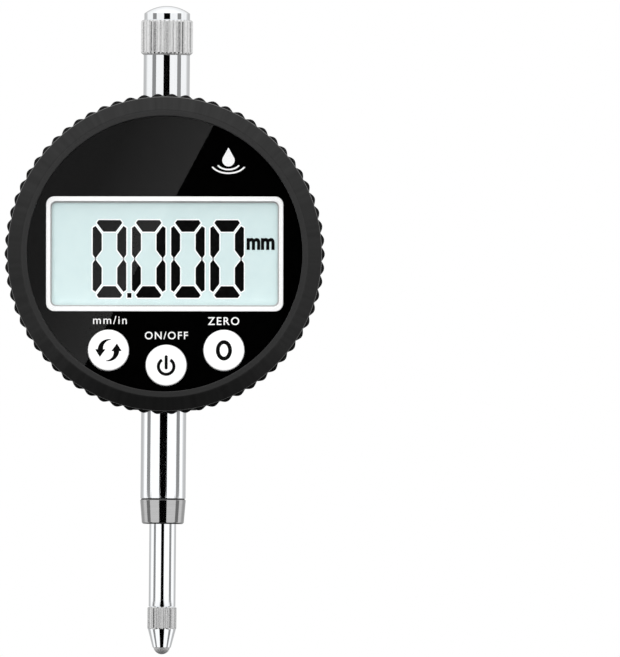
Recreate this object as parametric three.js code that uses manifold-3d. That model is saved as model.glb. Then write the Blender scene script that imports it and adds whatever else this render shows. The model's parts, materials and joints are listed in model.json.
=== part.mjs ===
// Electronic dial indicator: a round display head that turns on its case, an 8 mm stem, a lug back
// and a spring-loaded spindle with 12.7 mm of travel.
//
// Millimetres. +Z points up the measuring axis and the display faces -Y. The origin lies on the
// spindle's axis, in the middle of the stretch of stem that a stand clamps. Every piece is drawn
// from the centre of the dial, and one group lifts them all by DIAL_Z. In the names of sizes, R is a
// radius, Y0 and Y1 are a piece's front and rear, and Z0 and Z1 are its lower and upper ends.
import * as THREE from 'three';
import { mergeVertices } from 'three/addons/utils/BufferGeometryUtils.js';
import Module from 'manifold-3d';

const wasm = await Module();
wasm.setup();

// ---------------------------------------------------------------- driving sizes
const DIAL_Z = 35.6;
const FIT = 0.05; // radial clearance of bores and pockets, and the gap between resting faces
const LAP = 0.1; // how far two shapes reach into each other where they are joined
const FINE = 36; // sides of large round pieces
const ROUND = 20; // sides of the spindle and what runs on it
const SMALL = 10; // sides of screws and pins

// Case
const CASE = { r: 25.5, wall: 1.8, front: -7.0, rear: 7.4 };
const CASE_INSIDE_R = CASE.r - CASE.wall;
const WEB_REAR = CASE.front + CASE.wall;
const HUB = { r: 11.0, bore: 9.0, front: -10.5, grooveR: 10.2, grooveY0: -9.85, grooveY1: -9.25 };
const BOSS = { r: 6.0, bottom: -27.5, lowerInner: -20.6, upperInner: 19.0, top: 27.5 };
const COVER = { r: 25.3, y0: 7.8, y1: 9.6 };
const GASKET = { innerR: 23.9, outerR: 25.2, y0: 7.45, y1: 7.75 };
const COVER_SCREW_AT = 15.41; // from the dial's centre, both ways
const COVER_SCREW = { headR: 1.85, shankR: 0.95, tip: 0.5, neck: 8.55, bossR: 2.2 };
const LUG = { halfWidth: 2.6, holeR: 3.25, r: 5.6, holeY: 15.0, rootHeight: 8.5 };
const PORT = { halfHeight: 4.4, halfDepth: 1.6, inner: -18.5, land: -25.2 };
const PLUG = { flange: -26.0, halfDepth: 2.7, halfHeight: 5.5, tab: -26.5, tongue: -21 };
const BOARD = { x0: -13.0, x1: 8.2, y0: 4.3, y1: 5.3, z0: -11.0, z1: 15.0 };
const BOARD_POST = { r: 1.7, pilotR: 0.8, at: [[-10.5, 12.0], [6.4, -9.0]] };

// Stem, spindle and what runs on it
const STEM = { r: 4.0, boreR: 3.1, z0: -43.2, z1: -20.4 };
const NOSE_Z0 = -47.7;
const SPINDLE = { r: 2.37, z0: -62.4, z1: 27.9, tapR: 1.25, tapDepth: 4.2 };
const BUSHING_R = SPINDLE.r + FIT;
const TIP = { knurlR: 2.58, knurlZ0: -66.3, coneR: 1.64, coneZ: -69.6, ballR: 1.5, ballZ: -69.3 };
const CARRIER = { halfX: 4.5, halfY: 3.4, z0: -19.0, z1: -10.0 };
const GUIDE_PIN = { r: 1.0, z: -14.5, end: -7.4 };
const UPPER = { flangeR: 5.1, z0: 17.6, nippleR: 3.3, z1: 33.4 };
const CAP = { r: 4.1, knurlR: 4.6, z0: 28.2, knurlZ0: 35.7, knurlZ1: 41.5, domeZ: 42.5, top: 44.0 };

// Display head
const BEZEL = { apertureR: 24.33, lipR: 25.4, bodyR: 27.6, crestR: 28.3, front: -18.3, rear: -7.6 };
const LENS = { r: 25.2, y0: -17.3, y1: -16.1 };
const MASK = { y0: -16.0, y1: -14.8 };
const WINDOW = { width: 42.0, height: 20.4, corner: 1.5 };
const SCREEN = { width: 40.4, height: 18.6, corner: 1.0 };
const FRAME_BODY = { width: 44.0, height: 22.4, y1: -12.4, pocketY: -14.1 };
const PCB = { r: 24.9, y0: -12.1, y1: -11.1 };
const BUTTON = { r: 3.62, flangeR: 4.3, front: -17.5, flangeY0: -14.75, rear: -13.75 };
const BUTTONS = [
  { name: 'button_unit', x: -9.9, z: -17.05 },
  { name: 'button_power', x: 0.3, z: -19.7 },
  { name: 'button_zero', x: 10.5, z: -17.05 },
];
const HEAD_POST = { x: 17.9, z: 13.8, r: 1.7, pilotR: 0.75 };
const HEAD_BACK = { y0: -9.25, y1: -7.75 };
const HEAD_SCREW = { shankR: 0.7, headR: 1.35, tip: -14.4, neck: -8.5, top: -7.9 };
const FRICTION = { r: 16.6, section: 0.58, y: -7.68 };

// Battery, on the right of the case
const CELL = { x: 15.6, r: 5.8, y0: 0.6, y1: 6.0 };
const LID = { bossR: 5.95, flangeR: 6.7, shoulder: 8.0, flangeY0: 8.6 };
const TRAY = { r: 6.95, boreR: 6.5, y1: 5.2 };

// ---------------------------------------------------------------- materials
const finish = (color, roughness, metalness) =>
  new THREE.MeshStandardMaterial({ color, roughness, metalness });
const BLACK_CASE = finish(0x1b1b1c, 0.5, 0.1);
const BLACK_BEZEL = finish(0x202021, 0.45, 0.2);
const BLACK_GLOSS = finish(0x050505, 0.08, 0.0);
const CHROME = finish(0xd9dbdd, 0.08, 1.0);
const STEEL = finish(0xb4b6b8, 0.25, 1.0);
const BRASS = finish(0xb98f45, 0.3, 1.0);
const RUBBER = finish(0x161616, 0.85, 0.0);
const WHITE = finish(0xf0f1f1, 0.35, 0.0);
const LCD = finish(0xd6e8e9, 0.2, 0.0);
const GREEN_BOARD = finish(0x1d5a3a, 0.5, 0.1);
const POLYIMIDE = finish(0xb0621f, 0.4, 0.0);

// ---------------------------------------------------------------- shape helpers
// A geometry with only its positions, shared vertices merged, flat triangles dropped and its faces
// turned outwards.
function closed(geometry) {
  const bare = new THREE.BufferGeometry();
  const source = geometry.index ? geometry.toNonIndexed() : geometry;
  bare.setAttribute('position', source.getAttribute('position'));
  const merged = mergeVertices(bare, 1e-4);
  const position = merged.attributes.position;
  const corners = [];
  const [a, b, c] = [new THREE.Vector3(), new THREE.Vector3(), new THREE.Vector3()];
  let sixVolumes = 0;
  for (let i = 0; i < merged.index.count; i += 3) {
    const [ia, ib, ic] = [0, 1, 2].map((k) => merged.index.getX(i + k));
    if (ia === ib || ib === ic || ic === ia) continue;
    corners.push(ia, ib, ic);
    a.fromBufferAttribute(position, ia);
    b.fromBufferAttribute(position, ib);
    c.fromBufferAttribute(position, ic);
    sixVolumes += a.dot(b.cross(c));
  }
  if (sixVolumes < 0) corners.reverse();
  merged.setIndex(corners);
  return merged;
}

function solid(geometry) {
  const mesh = closed(geometry);
  return new wasm.Manifold(
    new wasm.Mesh({
      numProp: 3,
      vertProperties: new Float32Array(mesh.attributes.position.array),
      triVerts: new Uint32Array(mesh.index.array),
    }),
  );
}

function geometryOf(manifold) {
  const mesh = manifold.getMesh();
  const geometry = new THREE.BufferGeometry();
  geometry.setAttribute('position', new THREE.BufferAttribute(mesh.vertProperties, 3));
  geometry.setIndex(new THREE.BufferAttribute(mesh.triVerts, 1));
  return geometry;
}

// base joined with every shape in added, then cut by every shape in cuts.
function combine(base, added, cuts) {
  const joined = added.reduce((sum, shape) => sum.add(solid(shape)), solid(base));
  return geometryOf(cuts.reduce((rest, shape) => rest.subtract(solid(shape)), joined));
}

const vectors = (points) => points.map(([x, y]) => new THREE.Vector2(x, y));

// A solid turned about Y from [radius, y] points that start and end on the axis.
function turnedY(points, sides = FINE) {
  return closed(new THREE.LatheGeometry(vectors(points), sides));
}

// A ring turned about Y from the [radius, y] corners of its section.
function ringY(points, sides = FINE) {
  return turnedY([...points, points[0]], sides);
}

// The same two about Z, from [radius, z] points.
const turnedZ = (points, sides = ROUND) => turnedY(points, sides).rotateX(Math.PI / 2);
const ringZ = (points, sides = ROUND) => ringY(points, sides).rotateX(Math.PI / 2);

// A plain round bar along Y or Z, from one end to the other.
function barY(r, y0, y1, x = 0, z = 0, sides = SMALL) {
  return turnedY([[0, y0], [r, y0], [r, y1], [0, y1]], sides).translate(x, 0, z);
}

function barZ(r, z0, z1, sides = ROUND) {
  return turnedZ([[0, z0], [r, z0], [r, z1], [0, z1]], sides);
}

function barX(r, x0, x1, y, z, sides = SMALL) {
  return turnedY([[0, x0], [r, x0], [r, x1], [0, x1]], sides)
    .rotateZ(-Math.PI / 2)
    .translate(0, y, z);
}

function block(x0, x1, y0, y1, z0, z1) {
  return closed(new THREE.BoxGeometry(x1 - x0, y1 - y0, z1 - z0)).translate(
    (x0 + x1) / 2,
    (y0 + y1) / 2,
    (z0 + z1) / 2,
  );
}

// An outline drawn in X and Z, made solid from y0 back to y1.
function plate(shape, y0, y1, curveSegments = 3) {
  const geometry = new THREE.ExtrudeGeometry(shape, {
    depth: y1 - y0,
    bevelEnabled: false,
    curveSegments,
  });
  return closed(geometry.rotateX(Math.PI / 2).translate(0, y1, 0));
}

function roundedRectangle(width, height, r) {
  const [x, y] = [width / 2, height / 2];
  const shape = new THREE.Shape();
  shape.moveTo(-x + r, -y);
  shape.lineTo(x - r, -y);
  shape.absarc(x - r, -y + r, r, -Math.PI / 2, 0);
  shape.lineTo(x, y - r);
  shape.absarc(x - r, y - r, r, 0, Math.PI / 2);
  shape.lineTo(-x + r, y);
  shape.absarc(-x + r, y - r, r, Math.PI / 2, Math.PI);
  shape.lineTo(-x, -y + r);
  shape.absarc(-x + r, -y + r, r, Math.PI, 1.5 * Math.PI);
  return shape;
}

// The outline of a fluted or knurled rim, its crests rounded.
function flutedRim(count, crestR, valleyR, stepsEach) {
  const points = [];
  for (let i = 0; i < count * stepsEach; i++) {
    const rise = 0.5 + 0.5 * Math.cos((2 * Math.PI * i) / stepsEach);
    const angle = (2 * Math.PI * i) / (count * stepsEach);
    const r = valleyR + (crestR - valleyR) * rise;
    points.push(new THREE.Vector2(r * Math.cos(angle), r * Math.sin(angle)));
  }
  return new THREE.Shape(points);
}

// A thin strip that follows a line of [x, y] points, as an outline.
function stripOutline(points, thickness) {
  const line = vectors(points);
  const left = [];
  const right = [];
  line.forEach((point, i) => {
    const before = line[Math.max(i - 1, 0)];
    const after = line[Math.min(i + 1, line.length - 1)];
    const along = after.clone().sub(before).normalize();
    const across = new THREE.Vector2(-along.y, along.x).multiplyScalar(thickness / 2);
    left.push(point.clone().add(across));
    right.unshift(point.clone().sub(across));
  });
  return new THREE.Shape([...left, ...right]);
}

function arcPoints(cx, cy, r, from, to, steps) {
  return Array.from({ length: steps + 1 }, (_, i) => {
    const angle = from + ((to - from) * i) / steps;
    return [cx + r * Math.cos(angle), cy + r * Math.sin(angle)];
  });
}

const corners = (x, z) => [[-x, z], [x, z], [-x, -z], [x, -z]];

function piece(group, name, geometry, material) {
  const mesh = new THREE.Mesh(geometry, material);
  mesh.name = name;
  group.add(mesh);
}

// ---------------------------------------------------------------- case
function caseShell() {
  const chamfer = 0.5;
  const cup = ringY([
    [HUB.bore, HUB.front],
    [HUB.r - chamfer, HUB.front],
    [HUB.r, HUB.front + chamfer],
    [HUB.r, HUB.grooveY0],
    [HUB.grooveR, HUB.grooveY0],
    [HUB.grooveR, HUB.grooveY1],
    [HUB.r, HUB.grooveY1],
    [HUB.r, CASE.front],
    [CASE.r - chamfer, CASE.front],
    [CASE.r, CASE.front + chamfer],
    [CASE.r, CASE.rear],
    [CASE_INSIDE_R, CASE.rear],
    [CASE_INSIDE_R, WEB_REAR],
    [HUB.bore, WEB_REAR],
  ]);
  const screwBosses = corners(COVER_SCREW_AT, COVER_SCREW_AT).map(([x, z]) =>
    barY(COVER_SCREW.bossR, WEB_REAR - LAP, CASE.rear, x, z),
  );
  const posts = BOARD_POST.at.map(([x, z]) =>
    barY(BOARD_POST.r, WEB_REAR - LAP, BOARD.y0 - FIT, x, z),
  );
  const boreR = STEM.r + FIT;
  return combine(
    cup,
    [
      barZ(BOSS.r, BOSS.bottom, BOSS.lowerInner),
      barZ(BOSS.r, BOSS.upperInner, BOSS.top),
      ...screwBosses,
      ...posts,
    ],
    [
      barZ(boreR, BOSS.bottom - 1, BOSS.lowerInner + 1),
      barZ(boreR, BOSS.upperInner - 1, BOSS.top + 1),
      ...corners(COVER_SCREW_AT, COVER_SCREW_AT).map(([x, z]) =>
        barY(COVER_SCREW.shankR + FIT, 0, CASE.rear + 1, x, z),
      ),
      ...BOARD_POST.at.map(([x, z]) => barY(BOARD_POST.pilotR, -1, BOARD.y1, x, z)),
      block(
        -CASE.r - 1,
        PORT.land,
        -PLUG.halfDepth - 0.2,
        PLUG.halfDepth + 0.2,
        -PLUG.halfHeight - 0.3,
        PLUG.halfHeight + 0.3,
      ),
      block(
        -CASE.r - 1,
        -CASE_INSIDE_R + 1,
        -PORT.halfDepth - FIT,
        PORT.halfDepth + FIT,
        -PORT.halfHeight - FIT,
        PORT.halfHeight + FIT,
      ),
    ],
  );
}

// The rear cover, with its lug and the threaded seat of the battery lid.
function backCover() {
  const disc = turnedY([
    [0, COVER.y0],
    [COVER.r, COVER.y0],
    [COVER.r, COVER.y1 - 0.5],
    [COVER.r - 0.5, COVER.y1],
    [0, COVER.y1],
  ]);
  const countersinks = corners(COVER_SCREW_AT, COVER_SCREW_AT).map(([x, z]) =>
    turnedY(
      [
        [0, COVER.y0 - 1],
        [COVER_SCREW.shankR + 2 * FIT, COVER.y0 - 1],
        [COVER_SCREW.shankR + 2 * FIT, COVER_SCREW.neck],
        [COVER_SCREW.headR + 2 * FIT, COVER.y1 - FIT],
        [COVER_SCREW.headR + 2 * FIT, COVER.y1 + 1],
        [0, COVER.y1 + 1],
      ],
      SMALL,
    ).translate(x, 0, z),
  );
  const lidHole = turnedY(
    [
      [0, COVER.y0 - 3],
      [LID.bossR + 2 * FIT, COVER.y0 - 3],
      [LID.bossR + 2 * FIT, LID.shoulder],
      [LID.flangeR + 2 * FIT, LID.shoulder],
      [LID.flangeR + 2 * FIT, COVER.y1 + 1],
      [0, COVER.y1 + 1],
    ],
    ROUND,
  ).translate(CELL.x, 0, 0);
  const lidSeat = barY(7.4, 6.4, COVER.y0 + LAP, CELL.x, 0, ROUND);
  const lugHole = barX(LUG.holeR, -LUG.halfWidth - 1, LUG.halfWidth + 1, LUG.holeY, 0, ROUND);
  return combine(disc, [lidSeat, lug()], [lidHole, lugHole, ...countersinks]);
}

// A plate that stands on the cover, tapering from its root to the round eye.
function lug() {
  const root = COVER.y1 - LAP;
  const reach = 0.57 * Math.PI; // of the eye's round end, each way from its outermost point
  const shape = new THREE.Shape();
  shape.moveTo(root, LUG.rootHeight);
  shape.lineTo(root, -LUG.rootHeight);
  shape.absarc(LUG.holeY, 0, LUG.r, -reach, reach);
  const geometry = new THREE.ExtrudeGeometry(shape, {
    depth: 2 * LUG.halfWidth,
    bevelEnabled: false,
    curveSegments: 18,
  });
  // The outline's first axis becomes +Y, its second +Z, and its depth runs along X.
  const turn = new THREE.Matrix4().makeBasis(
    new THREE.Vector3(0, 1, 0),
    new THREE.Vector3(0, 0, 1),
    new THREE.Vector3(1, 0, 0),
  );
  return closed(geometry.applyMatrix4(turn).translate(-LUG.halfWidth, 0, 0));
}

function coverGasket() {
  const { innerR, outerR, y0, y1 } = GASKET;
  return ringY([[innerR, y0], [outerR, y0], [outerR, y1], [innerR, y1]]);
}

function coverScrew(x, z) {
  const slot = (turn) => block(-1.1, 1.1, 9.0, COVER.y1 + 1, -0.2, 0.2).rotateY(turn);
  const body = turnedY(
    [
      [0, COVER_SCREW.tip],
      [COVER_SCREW.shankR - 0.3, COVER_SCREW.tip],
      [COVER_SCREW.shankR, COVER_SCREW.tip + 0.4],
      [COVER_SCREW.shankR, COVER_SCREW.neck],
      [COVER_SCREW.headR, COVER.y1 - 2 * FIT],
      [0, COVER.y1 - 2 * FIT],
    ],
    SMALL,
  );
  return combine(body, [], [slot(0), slot(Math.PI / 2)]).translate(x, 0, z);
}

function boardScrew(x, z) {
  const body = turnedY(
    [[0, 0], [0.75, 0], [0.75, 5.35], [1.5, 5.35], [1.5, 5.9], [1.1, 6.2], [0, 6.2]],
    SMALL,
  );
  return combine(body, [], [block(-1.2, 1.2, 5.85, 7, -0.2, 0.2)]).translate(x, 0, z);
}

function encoderBoard() {
  const { x0, x1, y0, y1, z0, z1 } = BOARD;
  const holes = BOARD_POST.at.map(([x, z]) => barY(BOARD_POST.pilotR + FIT, y0 - 1, y1 + 1, x, z));
  return combine(block(x0, x1, y0, y1, z0, z1), [], holes);
}

// A rail beside the spindle, with the slot that the carrier's pin runs in.
function guideRail() {
  const body = block(-8.4, -5.3, WEB_REAR + FIT, 3.0, -20.0, 0.0);
  const halfSlot = GUIDE_PIN.r + FIT + 0.03;
  return combine(body, [], [block(-7.7, -5, -halfSlot, halfSlot, -21, 1)]);
}

// ---------------------------------------------------------------- battery and data port
function buttonCell() {
  return turnedY(
    [
      [0, CELL.y0],
      [5.1, CELL.y0],
      [5.3, CELL.y0 + 0.4],
      [CELL.r, CELL.y0 + 0.5],
      [CELL.r, CELL.y1 - 0.3],
      [CELL.r - 0.3, CELL.y1],
      [0, CELL.y1],
    ],
    ROUND,
  ).translate(CELL.x, 0, 0);
}

function batteryTray() {
  const { r, boreR, y1 } = TRAY;
  const y0 = WEB_REAR + FIT;
  return ringY([[boreR, y0], [r, y0], [r, y1], [boreR, y1]], ROUND).translate(CELL.x, 0, 0);
}

// A leaf spring under the cell, bent back on itself.
function negativeContact() {
  const line = [
    [-4.2, -4.9],
    [3.6, -4.9],
    [4.3, -4.3],
    [0.8, 0.1],
    [-0.6, 0.35],
    [-2.2, -0.4],
  ];
  const geometry = new THREE.ExtrudeGeometry(stripOutline(line, 0.25), {
    depth: 3.2,
    bevelEnabled: false,
  });
  return closed(geometry.translate(CELL.x, 0, -1.6));
}

// A strip that hugs the cell's can, on the side of the circuit board.
function positiveContact() {
  const line = arcPoints(CELL.x, 0, 6.15, 0.7 * Math.PI, 1.3 * Math.PI, 10);
  return plate(stripOutline(line, 0.25), 1.6, 4.9);
}

function batteryLid() {
  const body = turnedY(
    [
      [0, 6.3],
      [LID.bossR, 6.3],
      [LID.bossR, LID.flangeY0],
      [LID.flangeR, LID.flangeY0],
      [LID.flangeR, COVER.y1 - 0.3],
      [LID.flangeR - 0.3, COVER.y1],
      [0, COVER.y1],
    ],
    ROUND,
  );
  const coinSlot = block(-4.5, 4.5, 8.9, COVER.y1 + 1, -0.8, 0.8);
  return combine(body, [], [coinSlot]).translate(CELL.x, 0, 0);
}

// A rubber ring in the plane of the dial.
function rubberRing(r, section, sides) {
  return closed(new THREE.TorusGeometry(r, section, 5, sides)).rotateX(Math.PI / 2);
}

function portSocket() {
  const { halfDepth, halfHeight, inner, land } = PORT;
  const body = block(land + LAP, inner, -halfDepth, halfDepth, -halfHeight, halfHeight);
  return combine(body, [], [block(land - 1, inner - 1.5, -1.0, 1.0, -3.8, 3.8)]);
}

// The rubber plug: a flange outside the case, a pull tab and a tongue in the socket.
function portPlug() {
  const { halfDepth: y, halfHeight: z } = PLUG;
  const flange = block(PLUG.flange, PORT.land - FIT, -y, y, -z, z);
  const tongue = block(PORT.land - LAP, PLUG.tongue, -0.92, 0.92, -3.7, 3.7);
  const tab = block(PLUG.tab, PLUG.flange + LAP, -1.2, 1.2, -2.4, 2.4);
  return combine(flange, [tongue, tab], []);
}

// ---------------------------------------------------------------- stem and cap
function stem() {
  const edge = 0.3;
  return ringZ([
    [STEM.boreR, STEM.z0],
    [STEM.r - edge, STEM.z0],
    [STEM.r, STEM.z0 + edge],
    [STEM.r, STEM.z1],
    [STEM.boreR, STEM.z1],
  ]);
}

// The tapered nose screwed into the stem, with the groove for the wiper.
function stemNose() {
  return ringZ([
    [2.55, NOSE_Z0],
    [3.45, NOSE_Z0],
    [3.72, NOSE_Z0 + 0.25],
    [3.77, NOSE_Z0 + 0.7],
    [4.05, STEM.z0 - FIT],
    [STEM.boreR - FIT, STEM.z0 - FIT],
    [STEM.boreR - FIT, STEM.z0 + 2],
    [2.55, STEM.z0 + 2],
    [2.55, -45.1],
    [3.1, -45.1],
    [3.1, -46.9],
    [2.55, -46.9],
  ]);
}

function sleeve(innerR, outerR, z0, z1) {
  return ringZ([[innerR, z0], [outerR, z0], [outerR, z1], [innerR, z1]]);
}

function upperBushing() {
  return ringZ([
    [BUSHING_R, UPPER.z0],
    [UPPER.flangeR, UPPER.z0],
    [UPPER.flangeR, BOSS.upperInner - FIT],
    [STEM.r, BOSS.upperInner - FIT],
    [STEM.r, BOSS.top],
    [UPPER.nippleR, BOSS.top],
    [UPPER.nippleR, UPPER.z1 - 0.3],
    [UPPER.nippleR - 0.3, UPPER.z1],
    [BUSHING_R, UPPER.z1],
  ]);
}

// The cap over the top of the spindle: a plain skirt, a fluted grip and a low dome.
function dustCap() {
  const cavityR = 2.9;
  const threadR = UPPER.nippleR + 2 * FIT;
  const sag = CAP.top - CAP.domeZ;
  const domeR = (CAP.r ** 2 + sag ** 2) / (2 * sag);
  const half = Math.asin(CAP.r / domeR);
  const dome = arcPoints(0, CAP.top - domeR, domeR, Math.PI / 2 - half, Math.PI / 2, 5);
  const body = turnedZ([
    [0, 42.2],
    [cavityR, 42.2],
    [cavityR, 34.0],
    [threadR, 34.0],
    [threadR, CAP.z0],
    [CAP.r, CAP.z0],
    [CAP.r, 35.0],
    [4.35, 35.5],
    [4.35, CAP.knurlZ1 + 0.1],
    [CAP.r, CAP.knurlZ1 + 0.4],
    ...dome.slice(0, -1),
    [0, CAP.top],
  ]);
  const depth = CAP.knurlZ1 - CAP.knurlZ0;
  const grip = new THREE.ExtrudeGeometry(flutedRim(36, CAP.knurlR, 4.38, 2), {
    depth,
    bevelEnabled: false,
  }).translate(0, 0, CAP.knurlZ0);
  return combine(body, [combine(grip, [], [barZ(3.6, CAP.knurlZ0 - 1, CAP.knurlZ1 + 1)])], []);
}

// ---------------------------------------------------------------- spindle
function spindleRod() {
  const { r, z0, z1, tapR, tapDepth } = SPINDLE;
  return turnedZ([
    [0, z0 + tapDepth],
    [tapR, z0 + tapDepth],
    [tapR, z0],
    [r - 0.2, z0],
    [r, z0 + 0.2],
    [r, z1 - 0.4],
    [r - 0.4, z1],
    [0, z1],
  ]);
}

// The screw-in contact: a threaded stud, a fluted collar and a cone with a seat for the ball.
function contactPoint() {
  const collarZ1 = SPINDLE.z0 - FIT;
  const studR = SPINDLE.tapR - FIT;
  const seatR = TIP.ballR + FIT;
  const mouth = Math.acos((TIP.ballZ - TIP.coneZ) / seatR) - Math.PI / 2;
  const seat = arcPoints(0, TIP.ballZ, seatR, Math.PI / 2, mouth, 6).slice(1);
  const body = turnedZ([
    [0, TIP.ballZ + seatR],
    ...seat,
    [TIP.coneR, TIP.coneZ],
    [2.45, TIP.knurlZ0 - 0.1],
    [2.45, collarZ1],
    [studR, collarZ1],
    [studR, SPINDLE.z0 + SPINDLE.tapDepth - 0.4],
    [0, SPINDLE.z0 + SPINDLE.tapDepth - 0.4],
  ]);
  const grip = new THREE.ExtrudeGeometry(flutedRim(22, TIP.knurlR, 2.47, 2), {
    depth: collarZ1 - TIP.knurlZ0,
    bevelEnabled: false,
  }).translate(0, 0, TIP.knurlZ0);
  return combine(body, [grip], []);
}

function contactBall() {
  const half = arcPoints(0, TIP.ballZ, TIP.ballR, -Math.PI / 2, Math.PI / 2, 8);
  const points = half.map(([r, z], i) => [i === 0 || i === 8 ? 0 : r, z]);
  return turnedZ(points);
}

// The block clamped on the spindle, with holes for its set screw and its guide pin.
function scaleCarrier() {
  const { halfX, halfY, z0, z1 } = CARRIER;
  return combine(block(-halfX, halfX, -halfY, halfY, z0, z1), [], [
    barZ(BUSHING_R, z0 - 1, z1 + 1),
    barX(0.95, 2.0, halfX + 1, 0, GUIDE_PIN.z),
    barX(GUIDE_PIN.r + FIT, -halfX - 1, -2.6, 0, GUIDE_PIN.z),
  ]);
}

function scaleStrip() {
  const { halfY, z0 } = CARRIER;
  return block(-3.5, 3.5, halfY + FIT, BOARD.y0 - 0.25, z0, 4.5);
}

function returnSpring() {
  const [coilR, wireR, turns] = [2.95, 0.22, 8];
  const [low, high] = [CARRIER.z1 + wireR + FIT, UPPER.z0 - wireR - FIT];
  class Coil extends THREE.Curve {
    getPoint(t, target = new THREE.Vector3()) {
      const angle = 2 * Math.PI * turns * t;
      return target.set(coilR * Math.cos(angle), coilR * Math.sin(angle), low + (high - low) * t);
    }
  }
  const section = new THREE.Shape(vectors(arcPoints(0, 0, wireR, 0, 2 * Math.PI * (4 / 5), 4)));
  return closed(
    new THREE.ExtrudeGeometry(section, {
      steps: turns * 10,
      bevelEnabled: false,
      extrudePath: new Coil(),
    }),
  );
}

// ---------------------------------------------------------------- display head
function bezelRing() {
  const { apertureR, lipR, bodyR, crestR, front, rear } = BEZEL;
  const body = ringY([
    [apertureR, front],
    [lipR, front],
    [bodyR, front + 1.9],
    [bodyR, rear + 0.3],
    [bodyR - 0.3, rear],
    [lipR, rear],
    [lipR, LENS.y0 - FIT],
    [apertureR, LENS.y0 - FIT],
  ], 70);
  const knurl = plate(flutedRim(70, crestR, bodyR, 2), front + 2.1, -9.2);
  return combine(body, [combine(knurl, [], [barY(26.5, front, rear, 0, 0, 70)])], []);
}

function buttonHoles(y0, y1) {
  return BUTTONS.map(({ x, z }) => barY(BUTTON.r + 0.08, y0, y1, x, z, 20));
}

function faceLens() {
  return combine(barY(LENS.r, LENS.y0, LENS.y1, 0, 0, FINE), [], buttonHoles(-18, -15));
}

function headPosts(r, y0, y1) {
  return corners(HEAD_POST.x, HEAD_POST.z).map(([x, z]) => barY(r, y0, y1, x, z));
}

function faceMask() {
  const window = plate(roundedRectangle(WINDOW.width, WINDOW.height, WINDOW.corner), -17, -14);
  return combine(
    barY(LENS.r, MASK.y0, MASK.y1, 0, 0, FINE),
    headPosts(HEAD_POST.r, MASK.y1 - LAP, PCB.y0 - FIT),
    [window, ...buttonHoles(-17, -14), ...headPosts(HEAD_POST.pilotR, -14.6, -11)],
  );
}

// The white frame round the display: a lip in the mask's window and a body that holds the glass.
function displayFrame() {
  const lip = roundedRectangle(WINDOW.width - 2 * FIT, WINDOW.height - 2 * FIT, WINDOW.corner);
  const body = roundedRectangle(FRAME_BODY.width, FRAME_BODY.height, WINDOW.corner);
  const opening = roundedRectangle(SCREEN.width, SCREEN.height, SCREEN.corner);
  const pocket = roundedRectangle(FRAME_BODY.width - 1, FRAME_BODY.height - 1.8, 0.5);
  return combine(
    plate(body, MASK.y1 + FIT, FRAME_BODY.y1),
    [plate(lip, MASK.y0 + FIT, MASK.y1 + FIT + LAP)],
    [plate(opening, -17, -12), plate(pocket, FRAME_BODY.pocketY, -12)],
  );
}

function displayBoard() {
  const socket = block(-2.2, 2.2, PCB.y1 - LAP, -9.2, -1.6, 1.6);
  return combine(barY(PCB.r, PCB.y0, PCB.y1, 0, 0, FINE), [socket], headPosts(0.95, -13, -10));
}

// The rubber sheet between the buttons and the snap domes, a band curved with the rim.
function keypadMat() {
  const half = (41 / 180) * Math.PI;
  const shape = new THREE.Shape();
  shape.absarc(0, 0, 24.2, -Math.PI / 2 - half, -Math.PI / 2 + half, false);
  shape.absarc(0, 0, 15.6, -Math.PI / 2 + half, -Math.PI / 2 - half, true);
  return plate(shape, -13.2, -12.6, 10);
}

function snapDome({ x, z }) {
  const base = PCB.y0 - FIT;
  const profile = [[0, base], [2.4, base], [2.4, base - 0.08], [1.6, base - 0.25], [0, base - 0.35]];
  return turnedY(profile, SMALL).translate(x, 0, z);
}

function button({ x, z }) {
  const { r, flangeR, front, flangeY0, rear } = BUTTON;
  return turnedY(
    [
      [0, front],
      [r - 0.25, front],
      [r, front + 0.25],
      [r, flangeY0],
      [flangeR, flangeY0],
      [flangeR, rear],
      [0, rear],
    ],
    20,
  ).translate(x, 0, z);
}

function headBack() {
  const { y0, y1 } = HEAD_BACK;
  const [grooveR0, grooveR1] = [FRICTION.r - 0.65, FRICTION.r + 0.65];
  const ring = ringY([
    [HUB.r + FIT, y0],
    [LENS.r, y0],
    [LENS.r, y1],
    [grooveR1, y1],
    [grooveR1, -8.4],
    [grooveR0, -8.4],
    [grooveR0, y1],
    [HUB.r + FIT, y1],
  ]);
  return combine(ring, headPosts(HEAD_POST.r, PCB.y1 + FIT, y0 + LAP), [
    ...headPosts(HEAD_SCREW.shankR + 2 * FIT, -12, -7),
    ...headPosts(HEAD_SCREW.headR + 2 * FIT, HEAD_SCREW.neck - LAP, -7),
  ]);
}

function headScrew(x, z) {
  const { shankR, headR, tip, neck, top } = HEAD_SCREW;
  const body = turnedY(
    [[0, tip], [shankR, tip], [shankR, neck], [headR, neck], [headR, top], [0, top]],
    SMALL,
  );
  return combine(body, [], [block(-1.0, 1.0, top - 0.3, top + 1, -0.18, 0.18)]).translate(x, 0, z);
}

// The open ring in the hub's groove that keeps the head on the case.
function retainingRing() {
  const [inner, outer] = [HUB.grooveR + FIT, 12.8];
  const [y0, y1] = [HUB.grooveY0 + FIT, HUB.grooveY1 - FIT];
  const ring = ringY([[inner, y0], [outer, y0], [outer, y1], [inner, y1]]);
  return combine(ring, [], [block(-2.5, 2.5, -11, -8, -14, 0)]);
}

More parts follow.
